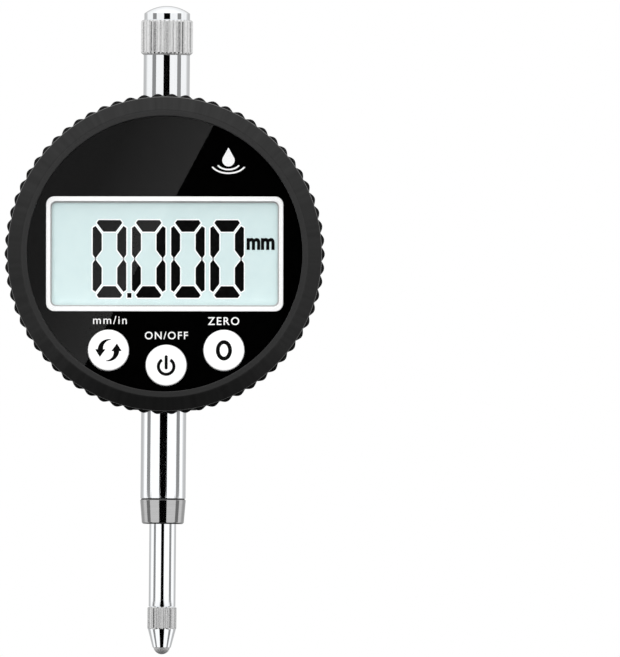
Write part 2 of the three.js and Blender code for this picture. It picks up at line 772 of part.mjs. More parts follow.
// The flat cable wound loosely in the hub, and its tail back to the encoder board.
function ribbonCoil() {
  const [innerR, outerR, turns, steps] = [3.4, 8.3, 1.9, 40];
  const end = 0.9 * Math.PI;
  const line = Array.from({ length: steps + 1 }, (_, i) => {
    const t = i / steps;
    const angle = end - 2 * Math.PI * turns * (1 - t);
    const r = innerR + (outerR - innerR) * t;
    return [r * Math.cos(angle), r * Math.sin(angle)];
  });
  const coil = plate(stripOutline(line, 0.2), -9.8, -6.4);
  const tail = plate(stripOutline(line.slice(-3), 0.2), -9.8, 4.2);
  return combine(coil, [tail], []);
}

// ---------------------------------------------------------------- assembly
const indicator = new THREE.Group();
const dial = new THREE.Group();
dial.position.z = DIAL_Z;
indicator.add(dial);

const body = new THREE.Group();
piece(body, 'housing', caseShell(), BLACK_CASE);
piece(body, 'back_cover', backCover(), BLACK_CASE);
piece(body, 'cover_gasket', coverGasket(), RUBBER);
corners(COVER_SCREW_AT, COVER_SCREW_AT).forEach(([x, z], i) => {
  piece(body, `cover_screw_${i + 1}`, coverScrew(x, z), STEEL);
});
piece(body, 'stem', stem(), CHROME);
piece(body, 'stem_nose', stemNose(), STEEL);
piece(body, 'wiper_seal', sleeve(BUSHING_R, 3.05, -46.85, -45.15), RUBBER);
piece(body, 'lower_bushing', sleeve(BUSHING_R, STEM.boreR - FIT, -41.0, -32.0), BRASS);
piece(body, 'upper_bushing', upperBushing(), BRASS);
piece(body, 'bumper', sleeve(2.6, 3.9, STEM.z1 + FIT, CARRIER.z0 - FIT), RUBBER);
piece(body, 'return_spring', returnSpring(), STEEL);
piece(body, 'guide_rail', guideRail(), STEEL);
piece(body, 'encoder_board', encoderBoard(), GREEN_BOARD);
piece(body, 'encoder_chip', block(-6.5, 1.5, BOARD.y1 + FIT, 6.3, -1.0, 7.0), BLACK_CASE);
BOARD_POST.at.forEach(([x, z], i) => {
  piece(body, `board_screw_${i + 1}`, boardScrew(x, z), STEEL);
});
piece(body, 'battery_tray', batteryTray(), BLACK_CASE);
piece(body, 'battery', buttonCell(), STEEL);
piece(body, 'battery_contact_negative', negativeContact(), BRASS);
piece(body, 'battery_contact_positive', positiveContact(), BRASS);
piece(body, 'data_port', portSocket(), BLACK_CASE);
piece(body, 'retaining_ring', retainingRing(), STEEL);
piece(body, 'ribbon_cable', ribbonCoil(), POLYIMIDE);
dial.add(body);

const removable = new THREE.Group();
piece(removable, 'dust_cap', dustCap(), CHROME);
piece(removable, 'battery_lid', batteryLid(), BLACK_CASE);
piece(removable, 'lid_o_ring', rubberRing(6.4, 0.22, 20).translate(CELL.x, 8.3, 0), RUBBER);
piece(removable, 'port_plug', portPlug(), RUBBER);
dial.add(removable);

const spindle = new THREE.Group();
piece(spindle, 'spindle_rod', spindleRod(), CHROME);
piece(spindle, 'contact_point', contactPoint(), STEEL);
piece(spindle, 'contact_ball', contactBall(), CHROME);
piece(spindle, 'scale_carrier', scaleCarrier(), STEEL);
piece(spindle, 'carrier_screw', barX(0.9, 2.5, 4.4, 0, GUIDE_PIN.z), STEEL);
piece(spindle, 'guide_pin', barX(GUIDE_PIN.r, GUIDE_PIN.end, -2.7, 0, GUIDE_PIN.z), STEEL);
piece(spindle, 'scale_strip', scaleStrip(), GREEN_BOARD);
dial.add(spindle);

const head = new THREE.Group();
piece(head, 'bezel_ring', bezelRing(), BLACK_BEZEL);
piece(head, 'face_lens', faceLens(), BLACK_GLOSS);
piece(head, 'face_mask', faceMask(), BLACK_GLOSS);
piece(head, 'lcd_frame', displayFrame(), WHITE);
piece(head, 'lcd_glass', block(-21.2, 21.2, -14.05, -13.0, -10.1, 10.1), LCD);
piece(head, 'lcd_reflector', block(-21.0, 21.0, -12.9, -12.5, -8.2, 8.2), WHITE);
piece(head, 'zebra_upper', block(-20.0, 20.0, -12.9, -12.15, 8.5, 10.0), RUBBER);
piece(head, 'zebra_lower', block(-20.0, 20.0, -12.9, -12.15, -10.0, -8.5), RUBBER);
piece(head, 'display_board', displayBoard(), GREEN_BOARD);
piece(head, 'keypad_mat', keypadMat(), RUBBER);
BUTTONS.forEach((place, i) => {
  piece(head, `snap_dome_${i + 1}`, snapDome(place), STEEL);
  piece(head, place.name, button(place), WHITE);
});
piece(head, 'head_back', headBack(), BLACK_CASE);
corners(HEAD_POST.x, HEAD_POST.z).forEach(([x, z], i) => {
  piece(head, `head_screw_${i + 1}`, headScrew(x, z), STEEL);
});
const frictionRing = rubberRing(FRICTION.r, FRICTION.section, 32).translate(0, FRICTION.y, 0);
piece(head, 'friction_ring', frictionRing, RUBBER);
dial.add(head);

export default indicator;
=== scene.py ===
"""Looks of the electronic dial indicator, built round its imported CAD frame.

Metres, +Z up the measuring axis, display towards -Y. Sizes that the frame doesn't give are in MM.
"""
import json
import math

import bmesh
import bpy
from mathutils import Matrix, Vector


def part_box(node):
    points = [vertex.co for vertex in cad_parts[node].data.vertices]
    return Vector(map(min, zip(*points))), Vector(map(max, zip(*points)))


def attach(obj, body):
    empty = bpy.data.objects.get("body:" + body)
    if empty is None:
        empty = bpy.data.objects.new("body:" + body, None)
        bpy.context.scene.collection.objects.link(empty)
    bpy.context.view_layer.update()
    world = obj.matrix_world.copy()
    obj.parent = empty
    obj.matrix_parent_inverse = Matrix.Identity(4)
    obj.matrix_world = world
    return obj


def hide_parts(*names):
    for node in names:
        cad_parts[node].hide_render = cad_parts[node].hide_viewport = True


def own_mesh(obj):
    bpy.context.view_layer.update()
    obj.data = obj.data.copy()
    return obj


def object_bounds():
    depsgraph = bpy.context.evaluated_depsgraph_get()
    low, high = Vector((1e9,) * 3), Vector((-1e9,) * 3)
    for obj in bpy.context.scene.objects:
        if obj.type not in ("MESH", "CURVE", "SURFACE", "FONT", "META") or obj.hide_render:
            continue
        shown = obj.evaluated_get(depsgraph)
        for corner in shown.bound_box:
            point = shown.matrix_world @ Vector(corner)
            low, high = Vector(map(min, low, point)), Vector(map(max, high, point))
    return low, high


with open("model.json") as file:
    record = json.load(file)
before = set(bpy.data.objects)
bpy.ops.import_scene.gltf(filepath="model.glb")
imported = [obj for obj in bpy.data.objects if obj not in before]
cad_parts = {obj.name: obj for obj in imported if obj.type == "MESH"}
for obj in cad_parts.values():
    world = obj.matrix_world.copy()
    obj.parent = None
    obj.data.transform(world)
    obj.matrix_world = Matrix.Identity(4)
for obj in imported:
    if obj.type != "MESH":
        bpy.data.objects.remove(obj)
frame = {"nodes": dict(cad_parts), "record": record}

cad_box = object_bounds()
MM = 0.001

# ---------------------------------------------------------------- places taken from the frame
BEZEL_LOW, BEZEL_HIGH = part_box("bezel_ring")
LENS_LOW, LENS_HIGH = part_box("face_lens")
MASK_LOW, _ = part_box("face_mask")
FRAME_LOW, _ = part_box("lcd_frame")
GLASS_LOW, GLASS_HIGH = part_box("lcd_glass")
HOUSING_LOW, HOUSING_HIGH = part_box("housing")
COVER_LOW, COVER_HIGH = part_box("back_cover")
STEM_LOW, STEM_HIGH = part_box("stem")
NOSE_LOW, NOSE_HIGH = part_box("stem_nose")
ROD_LOW, ROD_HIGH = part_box("spindle_rod")
TIP_LOW, TIP_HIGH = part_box("contact_point")
BALL_LOW, BALL_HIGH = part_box("contact_ball")
CAP_LOW, CAP_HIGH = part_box("dust_cap")
LID_LOW, LID_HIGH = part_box("battery_lid")
PLUG_LOW, PLUG_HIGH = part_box("port_plug")
SPRING_LOW, SPRING_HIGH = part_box("return_spring")
BUSH_LOW, BUSH_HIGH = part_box("upper_bushing")
WIPER_LOW, WIPER_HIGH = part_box("wiper_seal")
DIAL = (BEZEL_LOW + BEZEL_HIGH) / 2


# ---------------------------------------------------------------- mesh helpers
def rounded(points, radius, steps=4):
    """A closed outline with its corners rounded to a radius, as far as its edges allow."""
    result = []
    count = len(points)
    for i, corner in enumerate(points):
        here = Vector(corner)
        before = Vector(points[i - 1]) - here
        after = Vector(points[(i + 1) % count]) - here
        size = min(radius, before.length * 0.45, after.length * 0.45)
        if size < 1e-7 or before.angle(after) > math.radians(172):
            result.append(tuple(here))
            continue
        a, b = here + before.normalized() * size, here + after.normalized() * size
        for k in range(steps + 1):
            t = k / steps
            result.append(tuple(a * (1 - t) ** 2 + here * 2 * t * (1 - t) + b * t ** 2))
    return result


def link(name, mesh):
    piece = bpy.data.objects.new(name, mesh)
    bpy.context.scene.collection.objects.link(piece)
    return piece


def from_bmesh(name, made, sharp=32):
    bmesh.ops.remove_doubles(made, verts=made.verts, dist=1e-7)
    bmesh.ops.recalc_face_normals(made, faces=made.faces)
    mesh = bpy.data.meshes.new(name)
    made.to_mesh(mesh)
    made.free()
    mesh.shade_smooth()
    mesh.set_sharp_from_angle(angle=math.radians(sharp))
    return link(name, mesh)


def supported(points, ring):
    """The outline with a point close to both ends of every long stretch, which keeps it straight
    under smooth shading."""
    result = []
    for i, (here, there) in enumerate(zip(points, points[1:] + points[:1])):
        result.append(here)
        stretch = Vector(there) - Vector(here)
        if stretch.length > 0.4 * MM and (ring or i < len(points) - 1):
            step = stretch.normalized() * 0.04 * MM
            result += [tuple(Vector(here) + step), tuple(Vector(there) - step)]
    return result


def turned(name, profile, axis="Z", centre=(0, 0, 0), steps=128, ripple=None, ring=True, sharp=32):
    """A solid turned about Z or Y. profile holds (radius, height) points, a closed loop if ring is
    true, or a line from axis to axis. ripple(radius, height, angle) is the radius at an angle."""
    profile = supported(profile, ring)
    made = bmesh.new()
    origin = Vector(centre)
    columns = []
    for i in range(steps):
        angle = 2 * math.pi * i / steps
        column = []
        for r, h in profile:
            reach = ripple(r, h, angle) if ripple else r
            across, up = reach * math.cos(angle), reach * math.sin(angle)
            place = (across, up, h) if axis == "Z" else (across, h, up)
            column.append(made.verts.new(origin + Vector(place)))
        columns.append(column)
    rows = len(profile)
    for i in range(steps):
        one, two = columns[i], columns[(i + 1) % steps]
        for j in range(rows if ring else rows - 1):
            k = (j + 1) % rows
            made.faces.new((one[j], two[j], two[k], one[k]))
    bmesh.ops.dissolve_degenerate(made, dist=1e-8, edges=made.edges)
    return from_bmesh(name, made, sharp)


def mesh_of(temporary):
    """The finished mesh of a curve, text or modified object, which is then removed."""
    bpy.context.view_layer.update()
    graph = bpy.context.evaluated_depsgraph_get()
    mesh = bpy.data.meshes.new_from_object(temporary.evaluated_get(graph))
    bpy.data.objects.remove(temporary)
    return mesh


def filled_curve(outlines, thickness, bevel):
    curve = bpy.data.curves.new("outline", "CURVE")
    curve.dimensions = "2D"
    curve.fill_mode = "BOTH"
    curve.bevel_depth = bevel
    curve.bevel_resolution = 2
    curve.offset = -bevel
    curve.extrude = thickness / 2 - bevel
    for points in outlines:
        spline = curve.splines.new("POLY")
        spline.points.add(len(points) - 1)
        for point, (x, y) in zip(spline.points, points):
            point.co = (x, y, 0, 1)
        spline.use_cyclic_u = True
    return link("outline", curve)


FACING_FRONT = Matrix.Rotation(math.pi / 2, 4, "X")


def plate(name, outlines, front, thickness, bevel=0.0, centre=(0.0, 0.0), turn=FACING_FRONT):
    """Outlines drawn in X and Z round centre, the inner ones holes, as a sheet behind y = front."""
    mesh = mesh_of(filled_curve(outlines, thickness, bevel))
    mesh.transform(turn)
    mesh.transform(Matrix.Translation((centre[0], front + thickness / 2, centre[1])))
    made = bmesh.new()
    made.from_mesh(mesh)
    bpy.data.meshes.remove(mesh)
    return from_bmesh(name, made, 10)


def lettering(name, text, width, height, centre, front, thickness, weight, spacing=1.0):
    """Text in the built-in typeface, stretched to a width and height round centre."""
    curve = bpy.data.curves.new(name, "FONT")
    curve.body = text
    curve.offset = weight
    curve.space_character = spacing
    curve.extrude = 0.5
    curve.resolution_u = 6
    mesh = mesh_of(link(name, curve))
    xs = [v.co.x for v in mesh.vertices]
    ys = [v.co.y for v in mesh.vertices]
    middle = Vector(((min(xs) + max(xs)) / 2, (min(ys) + max(ys)) / 2, 0))
    mesh.transform(Matrix.Translation(-middle))
    scale = (width / (max(xs) - min(xs)), height / (max(ys) - min(ys)), thickness)
    mesh.transform(Matrix.Diagonal((*scale, 1)))
    mesh.transform(FACING_FRONT)
    mesh.transform(Matrix.Translation((centre[0], front + thickness / 2, centre[1])))
    made = bmesh.new()
    made.from_mesh(mesh)
    bpy.data.meshes.remove(mesh)
    return from_bmesh(name, made)


def block(name, low, high, bevel):
    """A box between two corners with rounded edges."""
    made = bmesh.new()
    bmesh.ops.create_cube(made, size=1.0)
    size = Vector(high) - Vector(low)
    for vertex in made.verts:
        vertex.co = Vector(low) + Vector(c * (v + 0.5) for c, v in zip(size, vertex.co))
    bmesh.ops.bevel(
        made, geom=list(made.edges), offset=bevel, segments=3, profile=0.5, affect="EDGES"
    )
    return from_bmesh(name, made, 10)


def carved(piece, cutters, operation="DIFFERENCE"):
    """piece cut by, or joined with, other closed pieces, which are then removed."""
    for cutter in cutters:
        change = piece.modifiers.new("carve", "BOOLEAN")
        change.operation = operation
        change.solver = "EXACT"
        change.object = cutter
    bpy.context.view_layer.update()
    graph = bpy.context.evaluated_depsgraph_get()
    mesh = bpy.data.meshes.new_from_object(piece.evaluated_get(graph))
    piece.modifiers.clear()
    piece.data = mesh
    mesh.shade_smooth()
    mesh.set_sharp_from_angle(angle=math.radians(32))
    for cutter in cutters:
        bpy.data.objects.remove(cutter)
    return piece


def circle(r, centre=(0.0, 0.0), steps=96):
    angles = [2 * math.pi * i / steps for i in range(steps)]
    return [(centre[0] + r * math.cos(a), centre[1] + r * math.sin(a)) for a in angles]


def arc(r, start, end, centre=(0.0, 0.0), steps=24, squeeze=1.0):
    """Points on an arc between two angles in degrees, its width squeezed for an ellipse."""
    angles = [math.radians(start + (end - start) * i / steps) for i in range(steps + 1)]
    return [(centre[0] + squeeze * r * math.cos(a), centre[1] + r * math.sin(a)) for a in angles]


def rectangle(width, height, r, centre=(0.0, 0.0)):
    x, z = width / 2 - r, height / 2 - r
    outline = []
    for cx, cz, start in ((x, z, 0), (-x, z, 90), (-x, -z, 180), (x, -z, 270)):
        outline += arc(r, start, start + 90, (centre[0] + cx, centre[1] + cz), 8)
    return outline


# ---------------------------------------------------------------- materials
def nodes_of(name, metallic=0.0, **sockets):
    material = bpy.data.materials.new(name)
    material.use_nodes = True
    tree = material.node_tree
    surface = tree.nodes["Principled BSDF"]
    surface.inputs["Metallic"].default_value = metallic
    for socket, value in sockets.items():
        surface.inputs[socket.replace("_", " ")].default_value = value
    return material, tree, surface


def add(tree, kind, **values):
    """A shader node, with its properties and, by their names with _ for a space, its inputs."""
    node = tree.nodes.new(kind)
    for key, value in values.items():
        if hasattr(node, key):
            setattr(node, key, value)
        else:
            node.inputs[key.replace("_", " ")].default_value = value
    return node


def noise_of(tree, scale, stretch=(1, 1, 1), detail=4.0, roughness=0.55):
    place = add(tree, "ShaderNodeTexCoord")
    mapping = add(tree, "ShaderNodeMapping")
    mapping.inputs["Scale"].default_value = stretch
    noise = add(tree, "ShaderNodeTexNoise", Scale=scale, Detail=detail, Roughness=roughness)
    tree.links.new(place.outputs["Object"], mapping.inputs["Vector"])
    tree.links.new(mapping.outputs["Vector"], noise.inputs["Vector"])
    return noise


def ranged(tree, source, low, high, start=0.3, stop=0.7):
    """A number from low to high as source goes from start to stop."""
    ramp = add(tree, "ShaderNodeMapRange")
    names = ("From Min", "From Max", "To Min", "To Max")
    for socket, value in zip(names, (start, stop, low, high)):
        ramp.inputs[socket].default_value = value
    tree.links.new(source, ramp.inputs["Value"])
    return ramp.outputs["Result"]


def shaded(tree, source, dark, light, start=0.3, stop=0.7):
    """A colour between dark and light as source goes from start to stop."""
    ramp = add(tree, "ShaderNodeValToRGB")
    ramp.color_ramp.elements[0].position = start
    ramp.color_ramp.elements[1].position = stop
    ramp.color_ramp.elements[0].color = (*dark, 1)
    ramp.color_ramp.elements[1].color = (*light, 1)
    tree.links.new(source, ramp.inputs["Fac"])
    return ramp.outputs["Color"]


def bumped(tree, surface, source, height, strength=1.0):
    bump = add(tree, "ShaderNodeBump", Strength=strength, Distance=height)
    tree.links.new(source, bump.inputs["Height"])
    tree.links.new(bump.outputs["Normal"], surface.inputs["Normal"])


def grained(name, dark, light, rough, scale, height, stretch=(1, 1, 1), metallic=0.0, **sockets):
    """A surface with fine grain: its colour and relief follow one noise, and a broader noise
    makes the roughness uneven from place to place."""
    material, tree, surface = nodes_of(name, metallic, **sockets)
    fine = noise_of(tree, scale, stretch)
    broad = noise_of(tree, 90.0, detail=2.0)
    tree.links.new(shaded(tree, fine.outputs["Fac"], dark, light), surface.inputs["Base Color"])
    tree.links.new(
        ranged(tree, broad.outputs["Fac"], rough[0], rough[1]), surface.inputs["Roughness"]
    )
    if height:
        bumped(tree, surface, fine.outputs["Fac"], height)
    return material


def grey(value):
    return (value, value, value)


def bezel_material():
    """Satin black with a fine grain and faint radial handling marks."""
    material, tree, surface = nodes_of("bezel_black", Specular_IOR_Level=0.3)
    place = add(tree, "ShaderNodeTexCoord")
    centred = add(tree, "ShaderNodeVectorMath", operation="SUBTRACT")
    centred.inputs[1].default_value = (DIAL.x, 0, DIAL.z)
    flat = add(tree, "ShaderNodeVectorMath", operation="MULTIPLY")
    flat.inputs[1].default_value = (1, 0, 1)
    outward = add(tree, "ShaderNodeVectorMath", operation="NORMALIZE")
    marks = add(tree, "ShaderNodeTexNoise", Scale=26.0, Detail=3.0)
    tree.links.new(place.outputs["Object"], centred.inputs[0])
    tree.links.new(centred.outputs[0], flat.inputs[0])
    tree.links.new(flat.outputs[0], outward.inputs[0])
    tree.links.new(outward.outputs[0], marks.inputs["Vector"])
    grain = noise_of(tree, 3500.0)
    colour = shaded(tree, marks.outputs["Fac"], grey(0.004), grey(0.010), 0.35, 0.75)
    tree.links.new(colour, surface.inputs["Base Color"])
    rough = ranged(tree, marks.outputs["Fac"], 0.46, 0.36, 0.35, 0.75)
    tree.links.new(rough, surface.inputs["Roughness"])
    bumped(tree, surface, grain.outputs["Fac"], 0.012 * MM)
    return material


def clear_material():
    """A polished clear sheet: it mirrors a little and lets everything else through."""
    material = bpy.data.materials.new("face_clear")
    material.use_nodes = True
    tree = material.node_tree
    tree.nodes.remove(tree.nodes["Principled BSDF"])
    through = add(tree, "ShaderNodeBsdfTransparent")
    mirror = add(tree, "ShaderNodeBsdfAnisotropic")
    haze = noise_of(tree, 400.0, detail=2.0)
    tree.links.new(ranged(tree, haze.outputs["Fac"], 0.004, 0.012), mirror.inputs["Roughness"])
    mix = add(tree, "ShaderNodeMixShader", Fac=0.035)
    tree.links.new(through.outputs["BSDF"], mix.inputs[1])
    tree.links.new(mirror.outputs["BSDF"], mix.inputs[2])
    tree.links.new(mix.outputs["Shader"], tree.nodes["Material Output"].inputs["Surface"])
    return material


CHROME = grained(
    "chrome", (0.86, 0.875, 0.89), (0.89, 0.905, 0.92), (0.03, 0.06), 1800, 0, (1, 1, 0.08), 1.0
)
GROUND = grained(
    "ground_steel", grey(0.45), grey(0.50), (0.05, 0.09), 900, 0.0002 * MM, (0.2, 0.2, 6), 1.0
)
GRIP = grained(
    "grip_steel", grey(0.70), grey(0.80), (0.24, 0.30), 2500, 0.0012 * MM, metallic=1.0
)
FROSTED = grained(
    "frosted_steel", grey(0.74), grey(0.82), (0.6, 0.7), 2500, 0.001 * MM, metallic=1.0
)
FLUTED = grained(
    "fluted_steel", grey(0.56), grey(0.68), (0.18, 0.28), 2500, 0.0012 * MM, metallic=1.0
)
SCREW = grained(
    "screw_steel", grey(0.42), grey(0.55), (0.22, 0.34), 1500, 0.002 * MM, metallic=1.0
)
BRASS = grained(
    "bushing_brass", (0.62, 0.43, 0.17), (0.76, 0.56, 0.26), (0.2, 0.32), 1200, 0.002 * MM,
    (1, 1, 4), 1.0
)
BEZEL = bezel_material()
# A lighter copy of the bezel black for the flat front lip: painted light, the light that its flat
# face catches.
LIT_LIP = grained(
    "bezel_lip_painted_light", grey(0.014), grey(0.019), (0.36, 0.44), 3500, 0.01 * MM, Specular_IOR_Level=0.3
)
# A pale grey for the rounding behind the bevel: a painted highlight line along the bezel's outer
# edge.
EDGE = grained("bezel_edge_painted_highlight", grey(0.12), grey(0.16), (0.36, 0.44), 3500, 0.01 * MM)
# A darker, duller copy of the bezel black for the knurled rim: painted shade, for teeth that face
# away from the light.
KNURL = grained(
    "bezel_knurl_painted_shade", grey(0.003), grey(0.006), (0.5, 0.6), 3500, 0.01 * MM, Specular_IOR_Level=0.06
)
CASE = grained("case_black", grey(0.010), grey(0.018), (0.42, 0.52), 2600, 0.02 * MM)
PRINT = grained(
    "face_print", grey(0.0003), grey(0.0006), (0.5, 0.6), 900, 0, Specular_IOR_Level=0.0
)
CLEAR = clear_material()
WHITE = grained("white_plastic", grey(0.88), grey(0.92), (0.30, 0.38), 1200, 0.0015 * MM)
INK = grained(
    "black_ink", grey(0.001), grey(0.003), (0.35, 0.45), 2500, 0.0008 * MM, Specular_IOR_Level=0.06
)
LABEL = grained("white_ink", grey(0.82), grey(0.88), (0.4, 0.5), 2500, 0.0008 * MM)
SEAL = grained("seal_rubber", grey(0.010), grey(0.020), (0.65, 0.8), 2200, 0.012 * MM)
# A grey for the ring round the screen's edge: painted shade, the shadow of the frame's overhang on
# the screen.
SCREEN_EDGE_SHADE = grained("screen_edge_painted_shade", grey(0.38), grey(0.44), (0.55, 0.65), 1800, 0.004 * MM)
SCREEN = grained(
    "lcd_pale", (0.585, 0.72, 0.725), (0.62, 0.75, 0.75), (0.35, 0.4), 700, 0.0003 * MM
)
HALO = grained("lcd_halo", (0.93, 0.95, 0.95), (0.96, 0.98, 0.98), (0.4, 0.5), 900, 0.0003 * MM)
BOARD = grained(
    "circuit_board", (0.010, 0.075, 0.035), (0.02, 0.12, 0.055), (0.3, 0.42), 900, 0.004 * MM
)
FILM = grained("ribbon_film", (0.40, 0.15, 0.03), (0.55, 0.24, 0.06), (0.25, 0.4), 700, 0.002 * MM)

SLOT_MATERIALS = {
    "case_black": CASE, "bezel_black": BEZEL, "face_gloss_black": PRINT, "white_plastic": WHITE,
    "lcd_pale": SCREEN, "chrome": CHROME, "ground_steel": GROUND, "screw_steel": SCREW,
    "bushing_brass": BRASS, "seal_rubber": SEAL, "circuit_board": BOARD, "ribbon_film": FILM,
}


def painted(piece, material, chosen):
    """The faces of a placed piece whose middles are chosen get another material."""
    piece.data.materials.append(material)
    index = len(piece.data.materials) - 1
    for polygon in piece.data.polygons:
        if chosen(polygon.center):
            polygon.material_index = index


# The head turns on the case, and stands a little anticlockwise of square
ABOUT_DIAL = Matrix.Translation((DIAL.x, 0, DIAL.z))
HEAD_SET = ABOUT_DIAL @ Matrix.Rotation(math.radians(-0.42), 4, "Y") @ ABOUT_DIAL.inverted()
HEAD_BODIES = ("head", "unit_button", "power_button", "zero_button")


def place(piece, body, material, slot, *nodes):
    """A finished piece: its material, the body it moves with and the CAD nodes it stands for."""
    if body in HEAD_BODIES:
        piece.data.transform(HEAD_SET)
    piece.data.materials.clear()
    piece.data.materials.append(material)
    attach(piece, body)
    if nodes:
        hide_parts(*nodes)
    return piece


def dress_cad_nodes():
    """Every CAD node that stays gets the material of its slot."""
    for subpart in frame["record"]["subparts"]:
        node = frame["nodes"][subpart["node"]]
        node.data.materials.clear()
        node.data.materials.append(SLOT_MATERIALS[subpart["material_slot"]])


# ---------------------------------------------------------------- bezel
KNURLS = 70
KNURL_DEPTH = 0.55 * MM


def bezel():
    front, rear = BEZEL_LOW.y, BEZEL_HIGH.y
    crest = (BEZEL_HIGH.x - BEZEL_LOW.x) / 2
    side = crest - KNURL_DEPTH + 0.03 * MM
    lip, aperture, bore = 25.4 * MM, 24.33 * MM, 25.35 * MM
    bevel_rear = front + 1.9 * MM
    knurl_from, knurl_to = bevel_rear + 0.25 * MM, rear - 1.6 * MM
    ramp = 0.55 * MM

    corners = [
        (aperture, front), (lip, front + 0.05 * MM), (side, bevel_rear),
        (side - 0.02 * MM, rear - 0.3 * MM), (side - 0.3 * MM, rear), (bore, rear),
        (bore, LENS_LOW.y - 0.02 * MM), (aperture, LENS_LOW.y - 0.02 * MM),
    ]
    outline = rounded(corners, 0.16 * MM)
    rows = []
    for r, y in outline:
        if rows and rows[-1][1] < knurl_from < y and r > lip:
            rows += [(side, knurl_from + (knurl_to - knurl_from) * k / 26) for k in range(27)]
        rows.append((r, y))

    def knurled(r, y, angle):
        if r < side - 0.05 * MM or not knurl_from <= y <= knurl_to:
            return r
        rise = min(1.0, (y - knurl_from) / ramp, (knurl_to - y) / ramp)
        swell = math.sin(rise * math.pi / 2)
        wave = (0.5 + 0.5 * math.cos(KNURLS * angle)) ** 0.55
        return side + KNURL_DEPTH * swell * (wave - 0.06)

    piece = turned(
        "bezel", rows, "Y", (DIAL.x, 0, DIAL.z), KNURLS * 12, knurled, sharp=50
    )
    place(piece, "head", BEZEL, "bezel_black", "bezel_ring")

    def radius(centre):
        return math.hypot(centre.x - DIAL.x, centre.z - DIAL.z)

    # The flat lip at the front gets the lighter copy of the bezel black: painted light.
    painted(piece, LIT_LIP, lambda c: c.y < front + 0.1 * MM and radius(c) < lip - 0.05 * MM)
    # The knurled rim gets the darker, duller copy of the bezel black: painted shade.
    painted(piece, KNURL, lambda c: c.y > bevel_rear + 0.1 * MM and radius(c) > bore + 0.5 * MM)
    # The rounding between the bevel and the knurls gets the pale grey: a painted highlight line.
    painted(piece, EDGE, lambda c: abs(c.y - bevel_rear) < 0.07 * MM and radius(c) > bore)


# ---------------------------------------------------------------- face
BUTTON_NODES = {
    "button_unit": "unit_button", "button_power": "power_button", "button_zero": "zero_button",
}


def middle_of(node):
    low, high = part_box(node)
    return ((low.x + high.x) / 2, (low.z + high.z) / 2)


def shifted(points, centre):
    return [(x + centre[0], z + centre[1]) for x, z in points]


BUTTON_R = 3.62 * MM
BUTTON_HOLE_R = 3.70 * MM
FACE = (DIAL.x, DIAL.z)


def face():
    holes = [circle(BUTTON_HOLE_R, middle_of(node)) for node in BUTTON_NODES]
    outline = circle(25.2 * MM, FACE, 192)
    lens = plate("face_sheet", [outline, *holes], LENS_LOW.y, LENS_HIGH.y - LENS_LOW.y, 0.04 * MM)
    place(lens, "head", CLEAR, "face_gloss_black", "face_lens")
    window = rectangle(42.0 * MM, 20.4 * MM, 1.5 * MM, FACE)
    printed = plate("face_print", [outline, window, *holes], MASK_LOW.y, 1.2 * MM)
    place(printed, "head", PRINT, "face_gloss_black", "face_mask")


def display():
    lip = rectangle(41.9 * MM, 20.3 * MM, 1.45 * MM, FACE)
    opening = rectangle(40.4 * MM, 18.6 * MM, 1.0 * MM, FACE)
    surround = plate("screen_frame", [lip, opening], FRAME_LOW.y, 1.75 * MM, 0.08 * MM)
    place(surround, "head", WHITE, "white_plastic", "lcd_frame")
    inner = rectangle(39.95 * MM, 18.1 * MM, 0.85 * MM, FACE)
    # A grey ring between the frame's opening and the screen: painted shade along the screen's
    # border.
    edge_shade = plate("screen_edge_painted_shade", [opening, inner], FRAME_LOW.y + 1.45 * MM, 0.3 * MM)
    place(edge_shade, "head", SCREEN_EDGE_SHADE, "seal_rubber")
    outline = rectangle(42.4 * MM, 20.2 * MM, 0.4 * MM, FACE)
    glass = plate("screen_glass", [outline], GLASS_LOW.y, GLASS_HIGH.y - GLASS_LOW.y, 0.1 * MM)
    place(glass, "head", SCREEN, "lcd_pale", "lcd_glass")


# Digits: half width, half height, the pitch between digits and the row's place on the screen
DIGIT_W, DIGIT_H, DIGIT_PITCH = 2.92 * MM, 6.82 * MM, 6.93 * MM
FIRST_DIGIT = (-9.76 * MM, -0.88 * MM)
DIGITS = 4


def end_segment():
    """The upper segment of a nought, a trapezium with its outer corners cut."""
    tip, cut, inner, depth = 0.72 * MM, 1.04 * MM, 1.86 * MM, 1.96 * MM
    left = [
        (-DIGIT_W + inner, DIGIT_H - depth), (-DIGIT_W + tip, DIGIT_H - 0.44 * MM),
        (-DIGIT_W + cut, DIGIT_H),
    ]
    return left + [(-x, z) for x, z in reversed(left)]


def side_segment():
    """The upper left segment, pointed at both ends."""
    edge, bar = 0.44 * MM, 1.5 * MM
    return [
        (-DIGIT_W, DIGIT_H - 1.36 * MM), (-DIGIT_W, 0.78 * MM), (-DIGIT_W + edge, 0.17 * MM),
        (-DIGIT_W + bar, 1.58 * MM), (-DIGIT_W + bar, DIGIT_H - 2.47 * MM),
        (-DIGIT_W + edge, DIGIT_H - 1.06 * MM),
    ]


def nought():
    """The six segments of a nought, each as an outline round the digit's middle."""
    end, side = end_segment(), side_segment()
    up_down = ((1, 1), (1, -1))
    all_round = ((1, 1), (-1, 1), (1, -1), (-1, -1))
    return [
        [(sx * x, sz * z) for x, z in shape]
        for shape, mirrors in ((end, up_down), (side, all_round)) for sx, sz in mirrors
    ]


def grown(points, margin):
    """A convex outline moved outwards by a margin on every side."""
    centre = sum((Vector(p) for p in points), Vector((0, 0))) / len(points)
    moved = []
    for i, point in enumerate(points):
        here = Vector(point)
        before = (here - Vector(points[i - 1])).normalized()
        after = (Vector(points[(i + 1) % len(points)]) - here).normalized()
        normals = [Vector((e.y, -e.x)) for e in (before, after)]
        normals = [n if n.dot(here - centre) > 0 else -n for n in normals]
        spread = normals[0] + normals[1]
        moved.append(tuple(here + spread * (margin * 2 / spread.length_squared)))
    return moved


